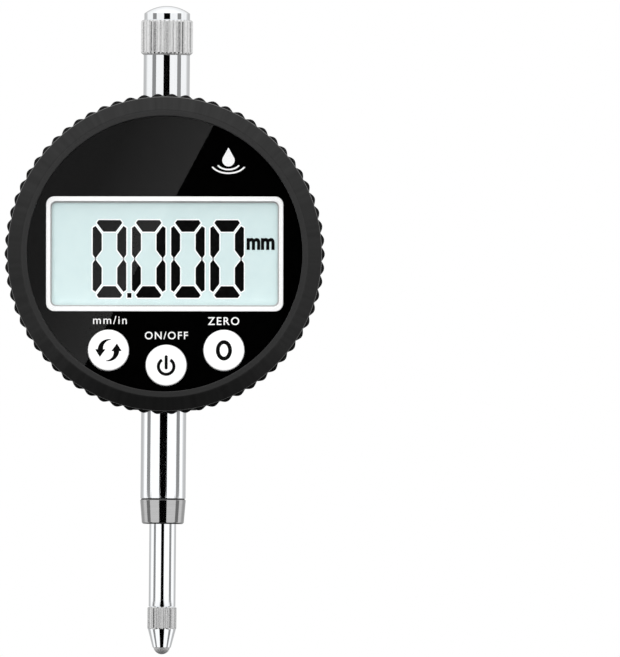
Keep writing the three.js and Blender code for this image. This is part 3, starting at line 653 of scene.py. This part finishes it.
def readout():
    """The digits and the decimal point, each on a paler patch that edges it, and the unit sign."""
    surface = GLASS_LOW.y
    swell, halo = 0.05 * MM, 0.2 * MM
    first_x, row_z = DIAL.x + FIRST_DIGIT[0], DIAL.z + FIRST_DIGIT[1]
    outlines = [
        shifted(grown(segment, swell), (first_x + i * DIGIT_PITCH, row_z))
        for i in range(DIGITS) for segment in nought()
    ]
    patches = [grown(outline, halo) for outline in outlines]
    point_at = (first_x + DIGIT_W + 0.6 * MM, row_z - DIGIT_H + 0.38 * MM)
    outlines.append(rectangle(0.76 * MM, 0.88 * MM, 0.04 * MM, point_at))
    patches.append(rectangle(1.06 * MM, 1.2 * MM, 0.1 * MM, point_at))
    for i, (outline, patch) in enumerate(zip(outlines, patches)):
        edge = plate(f"halo_{i + 1}", [patch], surface - 0.02 * MM, 0.015 * MM)
        place(edge, "head", HALO, "lcd_pale")
        segment = plate(f"segment_{i + 1}", [outline], surface - 0.045 * MM, 0.02 * MM)
        place(segment, "head", INK, "face_gloss_black")
    unit = lettering(
        "unit_sign", "mm", 4.95 * MM, 2.12 * MM, (DIAL.x + 16.95 * MM, DIAL.z + 1.8 * MM),
        surface - 0.045 * MM, 0.02 * MM, 0.042
    )
    place(unit, "head", INK, "face_gloss_black")


# Words on the face: text, width, height, stroke weight, and the place from the dial's centre
LABELS = (
    ("label_unit", "mm/in", 5.95 * MM, 1.45 * MM, 0.004, -9.65 * MM, -11.7 * MM),
    ("label_power", "ON/OFF", 7.62 * MM, 1.36 * MM, 0.010, 0.33 * MM, -14.43 * MM),
    ("label_zero", "ZERO", 5.56 * MM, 1.42 * MM, 0.012, 10.42 * MM, -11.87 * MM),
)


def labels():
    surface = MASK_LOW.y
    for name, text, width, height, weight, x, z in LABELS:
        word = lettering(
            name, text, width, height, (DIAL.x + x, DIAL.z + z), surface - 0.03 * MM, 0.02 * MM,
            weight, spacing=1.22
        )
        place(word, "head", LABEL, "white_plastic")


def splash_sign():
    """A plain sign for splash protection: a drop over two ripples."""
    centre = (DIAL.x + 11.25 * MM, DIAL.z + 16.2 * MM)
    surface = MASK_LOW.y - 0.03 * MM
    outline = arc(1.1 * MM, -215, 35, (0, 0.35 * MM)) + [(0, 2.6 * MM)]
    drop = plate("splash_drop", [shifted(outline, centre)], surface, 0.02 * MM)
    place(drop, "head", LABEL, "white_plastic")
    for i, (width, height) in enumerate(((1.9 * MM, 1.15 * MM), (3.0 * MM, 1.8 * MM))):
        stroke = 0.28 * MM
        band = []
        for grow, steps in ((0, range(25)), (stroke, range(24, -1, -1))):
            for k in steps:
                angle = math.radians(205 + 130 * k / 24)
                band.append(((width + grow) * math.cos(angle), (height + grow) * math.sin(angle)))
        ripple = plate(f"splash_ripple_{i + 1}", [shifted(band, centre)], surface, 0.02 * MM)
        place(ripple, "head", LABEL, "white_plastic")


# ---------------------------------------------------------------- buttons
def buttons():
    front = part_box("button_unit")[0].y
    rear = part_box("button_unit")[1].y
    flange = front + 2.75 * MM
    for node, body in BUTTON_NODES.items():
        x, z = middle_of(node)
        profile = [(0, front)]
        profile += [(BUTTON_R - 0.30 * MM, front)]
        profile += [
            (BUTTON_R - 0.30 * MM + 0.30 * MM * math.sin(a), front + 0.30 * MM * (1 - math.cos(a)))
            for a in (math.pi / 2 * k / 6 for k in range(1, 7))
        ]
        profile += [(BUTTON_R, flange), (4.3 * MM, flange), (4.3 * MM, rear), (0, rear)]
        cap = turned(f"{node}_cap", profile, "Y", (x, 0, z), 96, ring=False)
        place(cap, body, WHITE, "white_plastic", node)
        for name, outlines in ICONS[node]().items():
            shape = plate(name, outlines, front - 0.02 * MM, 0.03 * MM, centre=(x, z))
            place(shape, body, INK, "face_gloss_black")


def power_icon():
    outer, inner = 1.65 * MM, 1.1 * MM
    gap = 32
    ring = arc(outer, 90 + gap, 450 - gap, steps=48) + arc(inner, 450 - gap, 90 + gap, steps=48)
    bar = rectangle(0.54 * MM, 2.5 * MM, 0.25 * MM, (0, 0.52 * MM))
    return {"power_ring": [shifted(ring, (0, -0.22 * MM))], "power_bar": [bar]}


def zero_icon():
    wide, tall, stroke = 1.42 * MM, 1.8 * MM, 0.68 * MM
    outer = arc(tall, 0, 352.5, steps=47, squeeze=wide / tall)
    inner = arc(tall - stroke, 0, 352.5, steps=47, squeeze=(wide - stroke) / (tall - stroke))
    return {"zero_sign": [outer, inner]}


def unit_icon():
    """Two arrows that chase each other, each a crescent that widens towards its head."""
    outer = arc(1.96 * MM, 80, 178, (0.05 * MM, 0))
    inner = arc(1.48 * MM, 190, 94, (0.54 * MM, 0.35 * MM))
    head = [(-2.34 * MM, 0.16 * MM), (-0.52 * MM, 0.16 * MM), (-1.52 * MM, -1.2 * MM)]
    shapes = {"crescent": outer + inner, "head": head}
    return {
        f"unit_arrow_{kind}_{i + 1}": [[(turn * x, turn * z) for x, z in shape]]
        for i, turn in enumerate((1, -1)) for kind, shape in shapes.items()
    }


ICONS = {"button_unit": unit_icon, "button_power": power_icon, "button_zero": zero_icon}


# ---------------------------------------------------------------- stem, nose and spindle
def sleeve(name, inner, outer, low, high, edge, body, material, slot, *nodes):
    outline = rounded([(inner, low), (outer, low), (outer, high), (inner, high)], edge)
    return place(turned(name, outline), body, material, slot, *nodes)


def stem_parts():
    radius = (STEM_HIGH.x - STEM_LOW.x) / 2
    sleeve(
        "stem_tube", 3.1 * MM, radius, STEM_LOW.z, STEM_HIGH.z, 0.12 * MM,
        "case", CHROME, "chrome", "stem"
    )
    low, high = NOSE_LOW.z, STEM_LOW.z - 0.2 * MM
    outline = [
        (2.55 * MM, low), (3.45 * MM, low), (3.72 * MM, low + 0.22 * MM), (4.05 * MM, high),
        (3.86 * MM, high), (3.86 * MM, STEM_LOW.z - 0.02 * MM), (3.05 * MM, STEM_LOW.z - 0.02 * MM),
        (3.05 * MM, NOSE_HIGH.z), (2.55 * MM, NOSE_HIGH.z),
    ]
    nose = turned("nose", rounded(outline, 0.08 * MM))
    place(nose, "case", GROUND, "ground_steel", "stem_nose")
    # The nose's seat face and neck in the gap under the stem get the black rubber colour: painted
    # shade in that gap.
    painted(nose, SEAL, lambda c: c.z > high - 0.01 * MM)
    sleeve(
        "wiper", 2.42 * MM, 3.0 * MM, WIPER_LOW.z - 0.7 * MM, WIPER_HIGH.z, 0.15 * MM,
        "case", SEAL, "seal_rubber", "wiper_seal"
    )


def spindle_parts():
    radius = (ROD_HIGH.x - ROD_LOW.x) / 2
    outline = [
        (0, ROD_LOW.z + 0.3 * MM), (1.3 * MM, ROD_LOW.z + 0.3 * MM), (1.3 * MM, ROD_LOW.z),
        (radius - 0.12 * MM, ROD_LOW.z), (radius, ROD_LOW.z + 0.12 * MM),
        (radius, ROD_HIGH.z - 0.4 * MM), (radius - 0.4 * MM, ROD_HIGH.z), (0, ROD_HIGH.z),
    ]
    rod = turned("spindle", outline, ring=False)
    place(rod, "spindle", CHROME, "chrome", "spindle_rod")
    contact()
    ball_r = (BALL_HIGH.z - BALL_LOW.z) / 2
    centre_z = (BALL_LOW.z + BALL_HIGH.z) / 2
    ball = [
        (ball_r * math.cos(a), centre_z + ball_r * math.sin(a))
        for a in (math.pi * (k / 40 - 0.5) for k in range(41))
    ]
    ball[0], ball[-1] = (0, ball[0][1]), (0, ball[-1][1])
    place(turned("ball", ball, ring=False), "spindle", FROSTED, "chrome", "contact_ball")


def contact():
    """The contact point: a fluted collar over a polished cone."""
    low, top = TIP_LOW.z, ROD_LOW.z - 0.05 * MM
    collar_low = top - 3.85 * MM
    crest, flutes, depth = 2.58 * MM, 22, 0.16 * MM
    mouth, cone = 1.62 * MM, 2.45 * MM
    corners = [
        (0, low + 1.9 * MM), (1.45 * MM, low + 1.2 * MM), (mouth - 0.05 * MM, low),
        (mouth, low + 0.03 * MM), (cone, collar_low - 0.12 * MM), (crest - 0.1 * MM, collar_low),
    ]
    corners += [(crest, collar_low + 0.15 * MM + k * (3.55 * MM / 8)) for k in range(9)]
    corners += [(crest - 0.12 * MM, top), (1.2 * MM, top), (1.2 * MM, TIP_HIGH.z), (0, TIP_HIGH.z)]

    def fluted(r, z, angle):
        if r < crest - 1e-6:
            return r
        return crest - depth * (0.5 - 0.5 * math.cos(flutes * angle)) ** 1.5

    tip = turned("contact", corners, steps=flutes * 12, ripple=fluted, ring=False, sharp=40)
    place(tip, "spindle", CHROME, "ground_steel", "contact_point")
    painted(tip, FLUTED, lambda c: collar_low < c.z < top and math.hypot(c.x, c.y) > 2.3 * MM)


def cap_parts():
    """The dust cap: a skirt, a fluted grip and a low dome."""
    low, top = HOUSING_HIGH.z + 0.06 * MM, CAP_HIGH.z + 0.2 * MM
    skirt, crest, flutes = 4.1 * MM, 4.6 * MM, 36
    grip_low, grip_high = CAP_LOW.z + 7.5 * MM, CAP_HIGH.z - 2.4 * MM
    depth = 0.22 * MM
    bore, thread_r = 2.9 * MM, 3.4 * MM
    bore_top, thread_top = grip_high + 0.7 * MM, CAP_LOW.z + 5.8 * MM
    taper, edge = 0.26 * MM, 0.22 * MM
    outline = [
        (0, bore_top), (bore, bore_top), (bore, thread_top), (thread_r, thread_top),
        (thread_r, low), (skirt, low), (skirt, grip_low - taper), (crest - 0.2 * MM, grip_low),
    ]
    grip_length = grip_high - grip_low - 2 * edge
    outline += [(crest, grip_low + edge + k * grip_length / 10) for k in range(11)]
    shoulder, sag = 4.05 * MM, 1.36 * MM
    outline += [(crest - 0.2 * MM, grip_high), (shoulder, grip_high + 0.15 * MM)]
    dome_base = top - sag
    dome_r = (shoulder ** 2 + sag ** 2) / (2 * sag)
    reach = math.asin(shoulder / dome_r)
    outline += [(shoulder, dome_base - 0.04 * MM)]
    outline += [
        (dome_r * math.sin(a), top - dome_r * (1 - math.cos(a)))
        for a in (reach * (1 - k / 12) for k in range(12))
    ]
    outline += [(0, top)]

    def fluted(r, z, angle):
        if r < crest - 1e-6:
            return r
        return crest - depth * (0.5 - 0.5 * math.cos(flutes * angle)) ** 0.7

    cap = turned("cap", outline, steps=flutes * 10, ripple=fluted, ring=False, sharp=38)
    place(cap, "cap", CHROME, "chrome", "dust_cap")

    def outside(centre, low, high):
        return low < centre.z < high and math.hypot(centre.x, centre.y) > skirt

    painted(cap, GRIP, lambda c: outside(c, grip_low, grip_high))
    painted(cap, FROSTED, lambda c: outside(c, grip_low - taper - 0.01 * MM, grip_low + 0.1 * MM))


def nipple():
    """The upper bushing with the thread that the cap screws on."""
    bore, low, high = 2.42 * MM, BUSH_LOW.z, BUSH_HIGH.z
    shoulder = HOUSING_HIGH.z
    flange_r, flange_high, body_r, neck = 5.1 * MM, low + 1.3 * MM, 4.0 * MM, 3.1 * MM
    pitch, crest, depth = 0.5 * MM, 3.28 * MM, 0.16 * MM
    outline = [
        (bore, low), (flange_r, low), (flange_r, flange_high), (body_r, flange_high),
        (body_r, shoulder), (neck, shoulder), (neck, shoulder + 0.6 * MM),
    ]
    z = shoulder + 0.7 * MM
    while z < high - 0.7 * MM:
        outline += [(crest - depth, z), (crest, z + pitch / 2)]
        z += pitch
    outline += [(crest - depth, high - 0.3 * MM), (2.95 * MM, high), (bore, high)]
    place(turned("nipple", outline, sharp=25), "case", BRASS, "bushing_brass", "upper_bushing")


# ---------------------------------------------------------------- case
def across(name, x_low, x_high, half_y, half_z, bevel):
    """A block that lies along X at the dial's height, given by its half sizes in Y and Z."""
    low, high = (x_low, -half_y, DIAL.z - half_z), (x_high, half_y, DIAL.z + half_z)
    return block(name, low, high, bevel)


def case_shell():
    front, rear = -7.0 * MM, HOUSING_HIGH.y
    outer, inner, bore = 25.5 * MM, 23.7 * MM, 9.0 * MM
    web = front + 1.8 * MM
    hub, hub_front = 11.0 * MM, HOUSING_LOW.y
    groove, groove_front, groove_rear = 10.2 * MM, hub_front + 0.65 * MM, hub_front + 1.25 * MM
    corners = [
        (bore, hub_front), (hub, hub_front), (hub, groove_front),
        (groove, groove_front), (groove, groove_rear), (hub, groove_rear),
        (hub, front), (outer, front), (outer, rear), (inner, rear), (inner, web), (bore, web),
    ]
    shell = turned("case_shell", rounded(corners, 0.3 * MM), "Y", (DIAL.x, 0, DIAL.z), 192)
    boss_r, boss_bore, boss_root = 6.0 * MM, STEM_HIGH.x + 0.04 * MM, 22.0 * MM
    bottom, top = HOUSING_LOW.z, HOUSING_HIGH.z
    for name, low, high in (
        ("boss_top", DIAL.z + boss_root, top), ("boss_low", bottom, DIAL.z - boss_root)
    ):
        outline = [(boss_bore, low), (boss_r, low), (boss_r, high), (boss_bore, high)]
        boss = turned(name, rounded(outline, 0.35 * MM))
        place(boss, "case", CASE, "case_black")
    cut_r, spare = 4.04 * MM, 1 * MM
    port = across("port_cut", -27 * MM, -25.2 * MM, 2.9 * MM, 5.8 * MM, 0.1 * MM)
    mouth = across("port_mouth", -27 * MM, -22.5 * MM, 1.65 * MM, 4.45 * MM, 0.1 * MM)
    bores = turned("bores", [
        (0, bottom - spare), (cut_r, bottom - spare), (cut_r, top + spare), (0, top + spare)
    ], ring=False, steps=96)
    carved(shell, [port, mouth, bores])
    place(shell, "case", CASE, "case_black", "housing")
    port_plug()


def port_plug():
    """The rubber plug: a flange with a finger tab outside and a tongue in the port's mouth."""
    outside, half_y = PLUG_LOW.x, 2.7 * MM
    low, high = (outside + 0.5 * MM, -half_y, PLUG_LOW.z), (-25.25 * MM, half_y, PLUG_HIGH.z)
    plug = block("plug_flange", low, high, 0.3 * MM)
    tab = across("plug_tab", outside, outside + 0.9 * MM, 1.2 * MM, 2.4 * MM, 0.25 * MM)
    tongue = across("plug_tongue", -25.6 * MM, PLUG_HIGH.x, 0.92 * MM, 3.7 * MM, 0.2 * MM)
    carved(plug, [tab, tongue], "UNION")
    plug.name = "plug"
    place(plug, "plug", SEAL, "seal_rubber", "port_plug")


LUG_HALF_WIDTH = 2.6 * MM
# The eye's distance behind the spindle, its outer radius and its hole's
LUG_EYE = (15.0 * MM, 5.6 * MM, 3.25 * MM)


def disc(name, steps, centre, *corners):
    """A solid turned about Y round a place in the XZ plane, from its (radius, y) corners."""
    return turned(name, corners, "Y", (centre[0], 0, centre[1]), steps, ring=False)


def back_cover():
    front, rear = 7.8 * MM, 9.6 * MM
    radius = (COVER_HIGH.x - COVER_LOW.x) / 2
    cover = disc(
        "rear_cover", 192, (DIAL.x, DIAL.z),
        (0, front), (radius, front), (radius, rear - 0.5 * MM),
        (radius - 0.15 * MM, rear - 0.15 * MM), (radius - 0.5 * MM, rear), (0, rear)
    )
    lid_at = middle_of("battery_lid")
    seat_r, seat_front, seat_rear = 7.4 * MM, 6.4 * MM, front + 0.2 * MM
    seat = disc(
        "lid_seat", 96, lid_at,
        (0, seat_front), (seat_r, seat_front), (seat_r, seat_rear), (0, seat_rear)
    )
    cover = carved(cover, [seat], "UNION")
    beyond = 11 * MM
    hole_r, flange_r, step = 6.05 * MM, 6.8 * MM, 8.0 * MM
    cuts = [disc(
        "lid_hole", 96, lid_at,
        (0, 5 * MM), (hole_r, 5 * MM), (hole_r, step), (flange_r, step), (flange_r, beyond),
        (0, beyond)
    )]
    shank_r, head_r = 1.05 * MM, 2.0 * MM
    for i in range(4):
        cuts.append(disc(
            f"sink_{i}", 48, middle_of(f"cover_screw_{i + 1}"),
            (0, 6 * MM), (shank_r, 6 * MM), (shank_r, 8.5 * MM), (head_r, 9.55 * MM),
            (head_r, beyond), (0, beyond)
        ))
    carved(cover, cuts)
    place(cover, "case", CASE, "case_black", "back_cover")
    lug()


def lug():
    """The lug: a plate in the plane of the measuring axis that ends in the eye."""
    eye_y, eye_r, hole_r = LUG_EYE
    root, height = 9.5 * MM, 8.5 * MM
    foot = [(root, -height), (root + 0.6 * MM, -height + 0.4 * MM)]
    outline = foot + arc(eye_r, -103, 103, (eye_y, 0), 40) + [(y, -z) for y, z in reversed(foot)]
    hole = circle(hole_r, (eye_y, 0), 64)
    turn = Matrix(((0, 0, 1, 0), (1, 0, 0, 0), (0, 1, 0, 0), (0, 0, 0, 1)))
    mesh = mesh_of(filled_curve([outline, hole], 2 * LUG_HALF_WIDTH, 0.3 * MM))
    mesh.transform(turn)
    mesh.transform(Matrix.Translation((DIAL.x, 0, DIAL.z)))
    made = bmesh.new()
    made.from_mesh(mesh)
    place(from_bmesh("lug", made), "case", CASE, "case_black")


def cover_screws():
    rear, tip, shank_r, head_r = 9.5 * MM, 0.5 * MM, 0.95 * MM, 1.82 * MM
    reach, depth, half_width = 1.05 * MM, 0.55 * MM, 0.17 * MM
    for i in range(4):
        node = f"cover_screw_{i + 1}"
        x, z = middle_of(node)
        screw = disc(
            f"rear_screw_{i + 1}", 48, (x, z),
            (0, tip), (0.7 * MM, tip), (shank_r, 0.9 * MM), (shank_r, 8.55 * MM),
            (head_r, rear - 0.08 * MM), (head_r - 0.07 * MM, rear), (0, rear)
        )
        angle = math.radians(20 + 37 * i)
        for k in range(2):
            low, high = (-reach, rear - depth, -half_width), (reach, rear + 1 * MM, half_width)
            bar = block(f"recess_{k}", low, high, 0.04 * MM)
            bar.data.transform(Matrix.Rotation(angle + k * math.pi / 2, 4, "Y"))
            bar.data.transform(Matrix.Translation((x, 0, z)))
            carved(screw, [bar])
        place(screw, "case", SCREW, "screw_steel", node)


def battery_lid():
    x, z = middle_of("battery_lid")
    front, rear, flange = LID_LOW.y, LID_HIGH.y, 8.6 * MM
    body_r, flange_r, edge = 5.95 * MM, 6.7 * MM, 0.25 * MM
    lid = disc(
        "lid", 128, (x, z),
        (0, front), (body_r - edge, front), (body_r, front + edge), (body_r, flange),
        (flange_r, flange), (flange_r, rear - edge), (flange_r - edge, rear), (0, rear)
    )
    reach, half_width = 4.5 * MM, 0.8 * MM
    low = (x - reach, rear - 0.7 * MM, z - half_width)
    high = (x + reach, rear + 1 * MM, z + half_width)
    carved(lid, [block("coin_slot", low, high, 0.12 * MM)])
    place(lid, "battery_door", CASE, "case_black", "battery_lid")


def spring():
    """The return spring, a fixed coil; the real one shortens towards the upper bushing as the
    spindle rises.
    """
    coil_r, wire_r, turns, sides = 2.95 * MM, 0.22 * MM, 8, 8
    low, high = SPRING_LOW.z + wire_r, SPRING_HIGH.z - wire_r
    steps = turns * 32
    made = bmesh.new()
    rings = []
    for i in range(steps + 1):
        angle = 2 * math.pi * turns * i / steps
        out = Vector((math.cos(angle), math.sin(angle), 0))
        middle = out * coil_r + Vector((0, 0, low + (high - low) * i / steps))
        rings.append([
            made.verts.new(middle + wire_r * (out * math.cos(a) + Vector((0, 0, math.sin(a)))))
            for a in (2 * math.pi * k / sides for k in range(sides))
        ])
    for one, two in zip(rings, rings[1:]):
        for k in range(sides):
            made.faces.new((one[k], one[(k + 1) % sides], two[(k + 1) % sides], two[k]))
    made.faces.new(rings[0])
    made.faces.new(rings[-1])
    piece = place(from_bmesh("spring", made), "case", SCREW, "screw_steel", "return_spring")
    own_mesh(piece)


# ---------------------------------------------------------------- studio
CAMERA_DISTANCE = 4.0
CAMERA_AZIMUTH, CAMERA_ELEVATION, CAMERA_ROLL = 0.3, -0.8, 0.5
FRAME_WIDTH = 109.5 * MM
AIM = Vector((DIAL.x, LENS_LOW.y, DIAL.z))


def camera():
    azimuth, elevation = math.radians(CAMERA_AZIMUTH), math.radians(CAMERA_ELEVATION)
    back = Vector((
        math.sin(azimuth) * math.cos(elevation),
        -math.cos(azimuth) * math.cos(elevation),
        math.sin(elevation),
    ))
    data = bpy.data.cameras.new("camera")
    data.sensor_fit = "HORIZONTAL"
    data.sensor_width = 36
    data.lens = data.sensor_width * CAMERA_DISTANCE / FRAME_WIDTH
    data.shift_x = 0.2345
    data.shift_y = -0.1206
    data.clip_start = 0.01
    data.clip_end = 20
    eye = bpy.data.objects.new("camera", data)
    eye.location = AIM + back * CAMERA_DISTANCE
    roll = Matrix.Rotation(math.radians(CAMERA_ROLL), 3, "Z")
    eye.rotation_euler = ((-back).to_track_quat("-Z", "Y").to_matrix() @ roll).to_euler()
    bpy.context.scene.collection.objects.link(eye)
    bpy.context.scene.camera = eye
    return eye


def lamp(name, location, size, power, target, mirrored=False):
    data = bpy.data.lights.new(name, "AREA")
    data.shape = "DISK"
    data.size = size
    data.energy = power
    light = bpy.data.objects.new(name, data)
    light.location = location
    light.rotation_euler = (Vector(target) - Vector(location)).to_track_quat("-Z", "Y").to_euler()
    light.visible_glossy = mirrored
    light.visible_camera = False
    bpy.context.scene.collection.objects.link(light)
    return light


def mirrored_only(piece):
    """A thing of the studio that is seen in reflections and nowhere else."""
    piece.visible_camera = False
    piece.visible_diffuse = False
    piece.visible_shadow = False
    piece.visible_transmission = False


def glowing(name, corners, faces, strength):
    """A mesh that glows with an even strength, or with the one that strength(tree) links up."""
    mesh = bpy.data.meshes.new(name)
    mesh.from_pydata(corners, [], faces)
    material = bpy.data.materials.new(name)
    material.use_nodes = True
    tree = material.node_tree
    tree.nodes.remove(tree.nodes["Principled BSDF"])
    glow = add(tree, "ShaderNodeEmission")
    if callable(strength):
        tree.links.new(strength(tree), glow.inputs["Strength"])
    else:
        glow.inputs["Strength"].default_value = strength
    tree.links.new(glow.outputs["Emission"], tree.nodes["Material Output"].inputs["Surface"])
    mesh.materials.append(material)
    return link(name, mesh)


def glare_card(eye):
    """A softbox edge that the flat face mirrors: lit on one side of a slanting line only."""
    distance = 0.2
    camera_at = eye.location
    share = distance / (LENS_LOW.y - camera_at.y)

    def seen_at(x, z):
        """Where the card has to hold what the face mirrors at a point."""
        point = Vector((DIAL.x + x, LENS_LOW.y, DIAL.z + z))
        shown = point + (point - camera_at) * share
        return Vector((shown.x, LENS_LOW.y - distance, shown.z))

    upper, lower = (9.4 * MM, 24.6 * MM), (-16.4 * MM, -24.6 * MM)
    corners = [seen_at(*p) for p in (upper, lower, (-26 * MM, -24.6 * MM), (-26 * MM, 24.6 * MM))]
    along = (corners[1] - corners[0]).normalized()
    across = Vector((along.z, 0, -along.x))
    if across.dot(corners[3] - corners[0]) < 0:
        across = -across

    def strength(tree):
        place_node = add(tree, "ShaderNodeTexCoord")
        dot = add(tree, "ShaderNodeVectorMath", operation="DOT_PRODUCT")
        dot.inputs[1].default_value = across
        tree.links.new(place_node.outputs["Object"], dot.inputs[0])
        edge = across.dot(corners[0])
        return ranged(tree, dot.outputs["Value"], 0.42, 0.20, edge, edge + 14 * MM)

    mirrored_only(glowing("glare_card", corners, [(0, 1, 2, 3)], strength))


# What the metal mirrors in front of it, by height: a dark slot, a grey seam at either side and the
# white panels between them. Low and high end, the slot's half width and the seams' angle in degrees
# from the front, and the panels' strength.
SEAMS = (
    (-0.2200, -0.0700, 22.0, 74.0, 1.12),
    (-0.0700, -0.0265, 19.5, 80.5, 1.05),
    (-0.0265, -0.0065, 12.5, 71.0, 1.14),
    (-0.0065, 0.0480, 19.5, 80.5, 1.14),
    (0.0480, 0.1250, 15.5, 65.0, 1.02),
)


def flags():
    radius, seam_half, rear = 0.3, 11.0, 113.0

    def strip(name, low, high, start, stop, light):
        angles = [math.radians(start + (stop - start) * k / 12) for k in range(13)]
        corners = [
            (radius * math.sin(a), -radius * math.cos(a), z) for z in (low, high) for a in angles
        ]
        faces = [(k, k + 1, k + 14, k + 13) for k in range(12)]
        mirrored_only(glowing(name, corners, faces, light))

    for i, (low, high, slot, seam, panel) in enumerate(SEAMS):
        strip(f"slot_{i}", low, high, -slot, slot, 0.0)
        for side in (-1, 1):
            edges = [side * a for a in (slot, seam - seam_half, seam + seam_half, rear)]
            for k, light in enumerate((panel, 0.28, panel)):
                strip(f"panel_{i}_{side}_{k}", low, high, edges[k], edges[k + 1], light)


def surroundings():
    """White to the camera. What the object mirrors is a white tent that is greyer behind it, a
    little brighter overhead and dark underneath."""
    world = bpy.data.worlds.new("studio")
    bpy.context.scene.world = world
    world.use_nodes = True
    tree = world.node_tree
    background = tree.nodes["Background"]
    place_node = add(tree, "ShaderNodeTexCoord")
    parts = add(tree, "ShaderNodeSeparateXYZ")
    tree.links.new(place_node.outputs["Generated"], parts.inputs["Vector"])

    def maths(operation, first, second=None):
        node = add(tree, "ShaderNodeMath", operation=operation)
        for socket, value in zip(node.inputs, (first, second)):
            if isinstance(value, (int, float)):
                socket.default_value = value
            elif value is not None:
                tree.links.new(value, socket)
        return node.outputs[0]

    up = parts.outputs["Z"]
    behind = maths("MULTIPLY", parts.outputs["Y"], -1)
    round_it = maths("ABSOLUTE", maths("ARCTAN2", parts.outputs["X"], behind))
    behind = ranged(tree, round_it, 0.0, 1.0, math.radians(110), math.radians(130))
    level = ranged(tree, maths("ABSOLUTE", up), 1.0, 0.0, 0.3, 0.5)
    rear = maths("SUBTRACT", 1.0, maths("MULTIPLY", maths("MULTIPLY", behind, level), 0.42))
    below = ranged(tree, up, 0.05, 1.0, -0.65, -0.15)
    above = ranged(tree, up, 1.0, 1.25, 0.55, 0.9)
    tent = maths("MULTIPLY", maths("MULTIPLY", maths("MULTIPLY", rear, below), above), 0.97)
    path = add(tree, "ShaderNodeLightPath")
    mix = add(tree, "ShaderNodeMix")
    tree.links.new(path.outputs["Is Camera Ray"], mix.inputs["Factor"])
    tree.links.new(tent, mix.inputs["A"])
    mix.inputs["B"].default_value = 1.0
    tree.links.new(mix.outputs["Result"], background.inputs["Strength"])
    background.inputs["Color"].default_value = (1.0, 1.0, 1.0, 1)


def floor():
    size, drop = 1.5, cad_box[0][2] - 0.45
    mesh = bpy.data.meshes.new("floor")
    corners = [(-size, -size, drop), (size, -size, drop), (size, size, drop), (-size, size, drop)]
    mesh.from_pydata(corners, [], [(0, 1, 2, 3)])
    ground = link("floor", mesh)
    mesh.materials.append(grained("floor_pale", grey(0.78), grey(0.80), (0.7, 0.8), 6, 0))
    ground.visible_glossy = False
    ground.visible_diffuse = False


def studio():
    eye = camera()
    surroundings()
    floor()
    glare_card(eye)
    flags()
    middle = (DIAL.x, LENS_LOW.y, DIAL.z)
    lamp("key", (-0.3, -1.1, 0.2), 0.5, 4.2, middle)
    lamp("fill", (0.15, -1.1, 0.2), 0.5, 3.4, middle)
    bpy.context.scene.view_settings.view_transform = "Standard"


dress_cad_nodes()
bezel()
face()
display()
readout()
labels()
splash_sign()
buttons()
stem_parts()
spindle_parts()
cap_parts()
nipple()
case_shell()
back_cover()
cover_screws()
battery_lid()
spring()
studio()
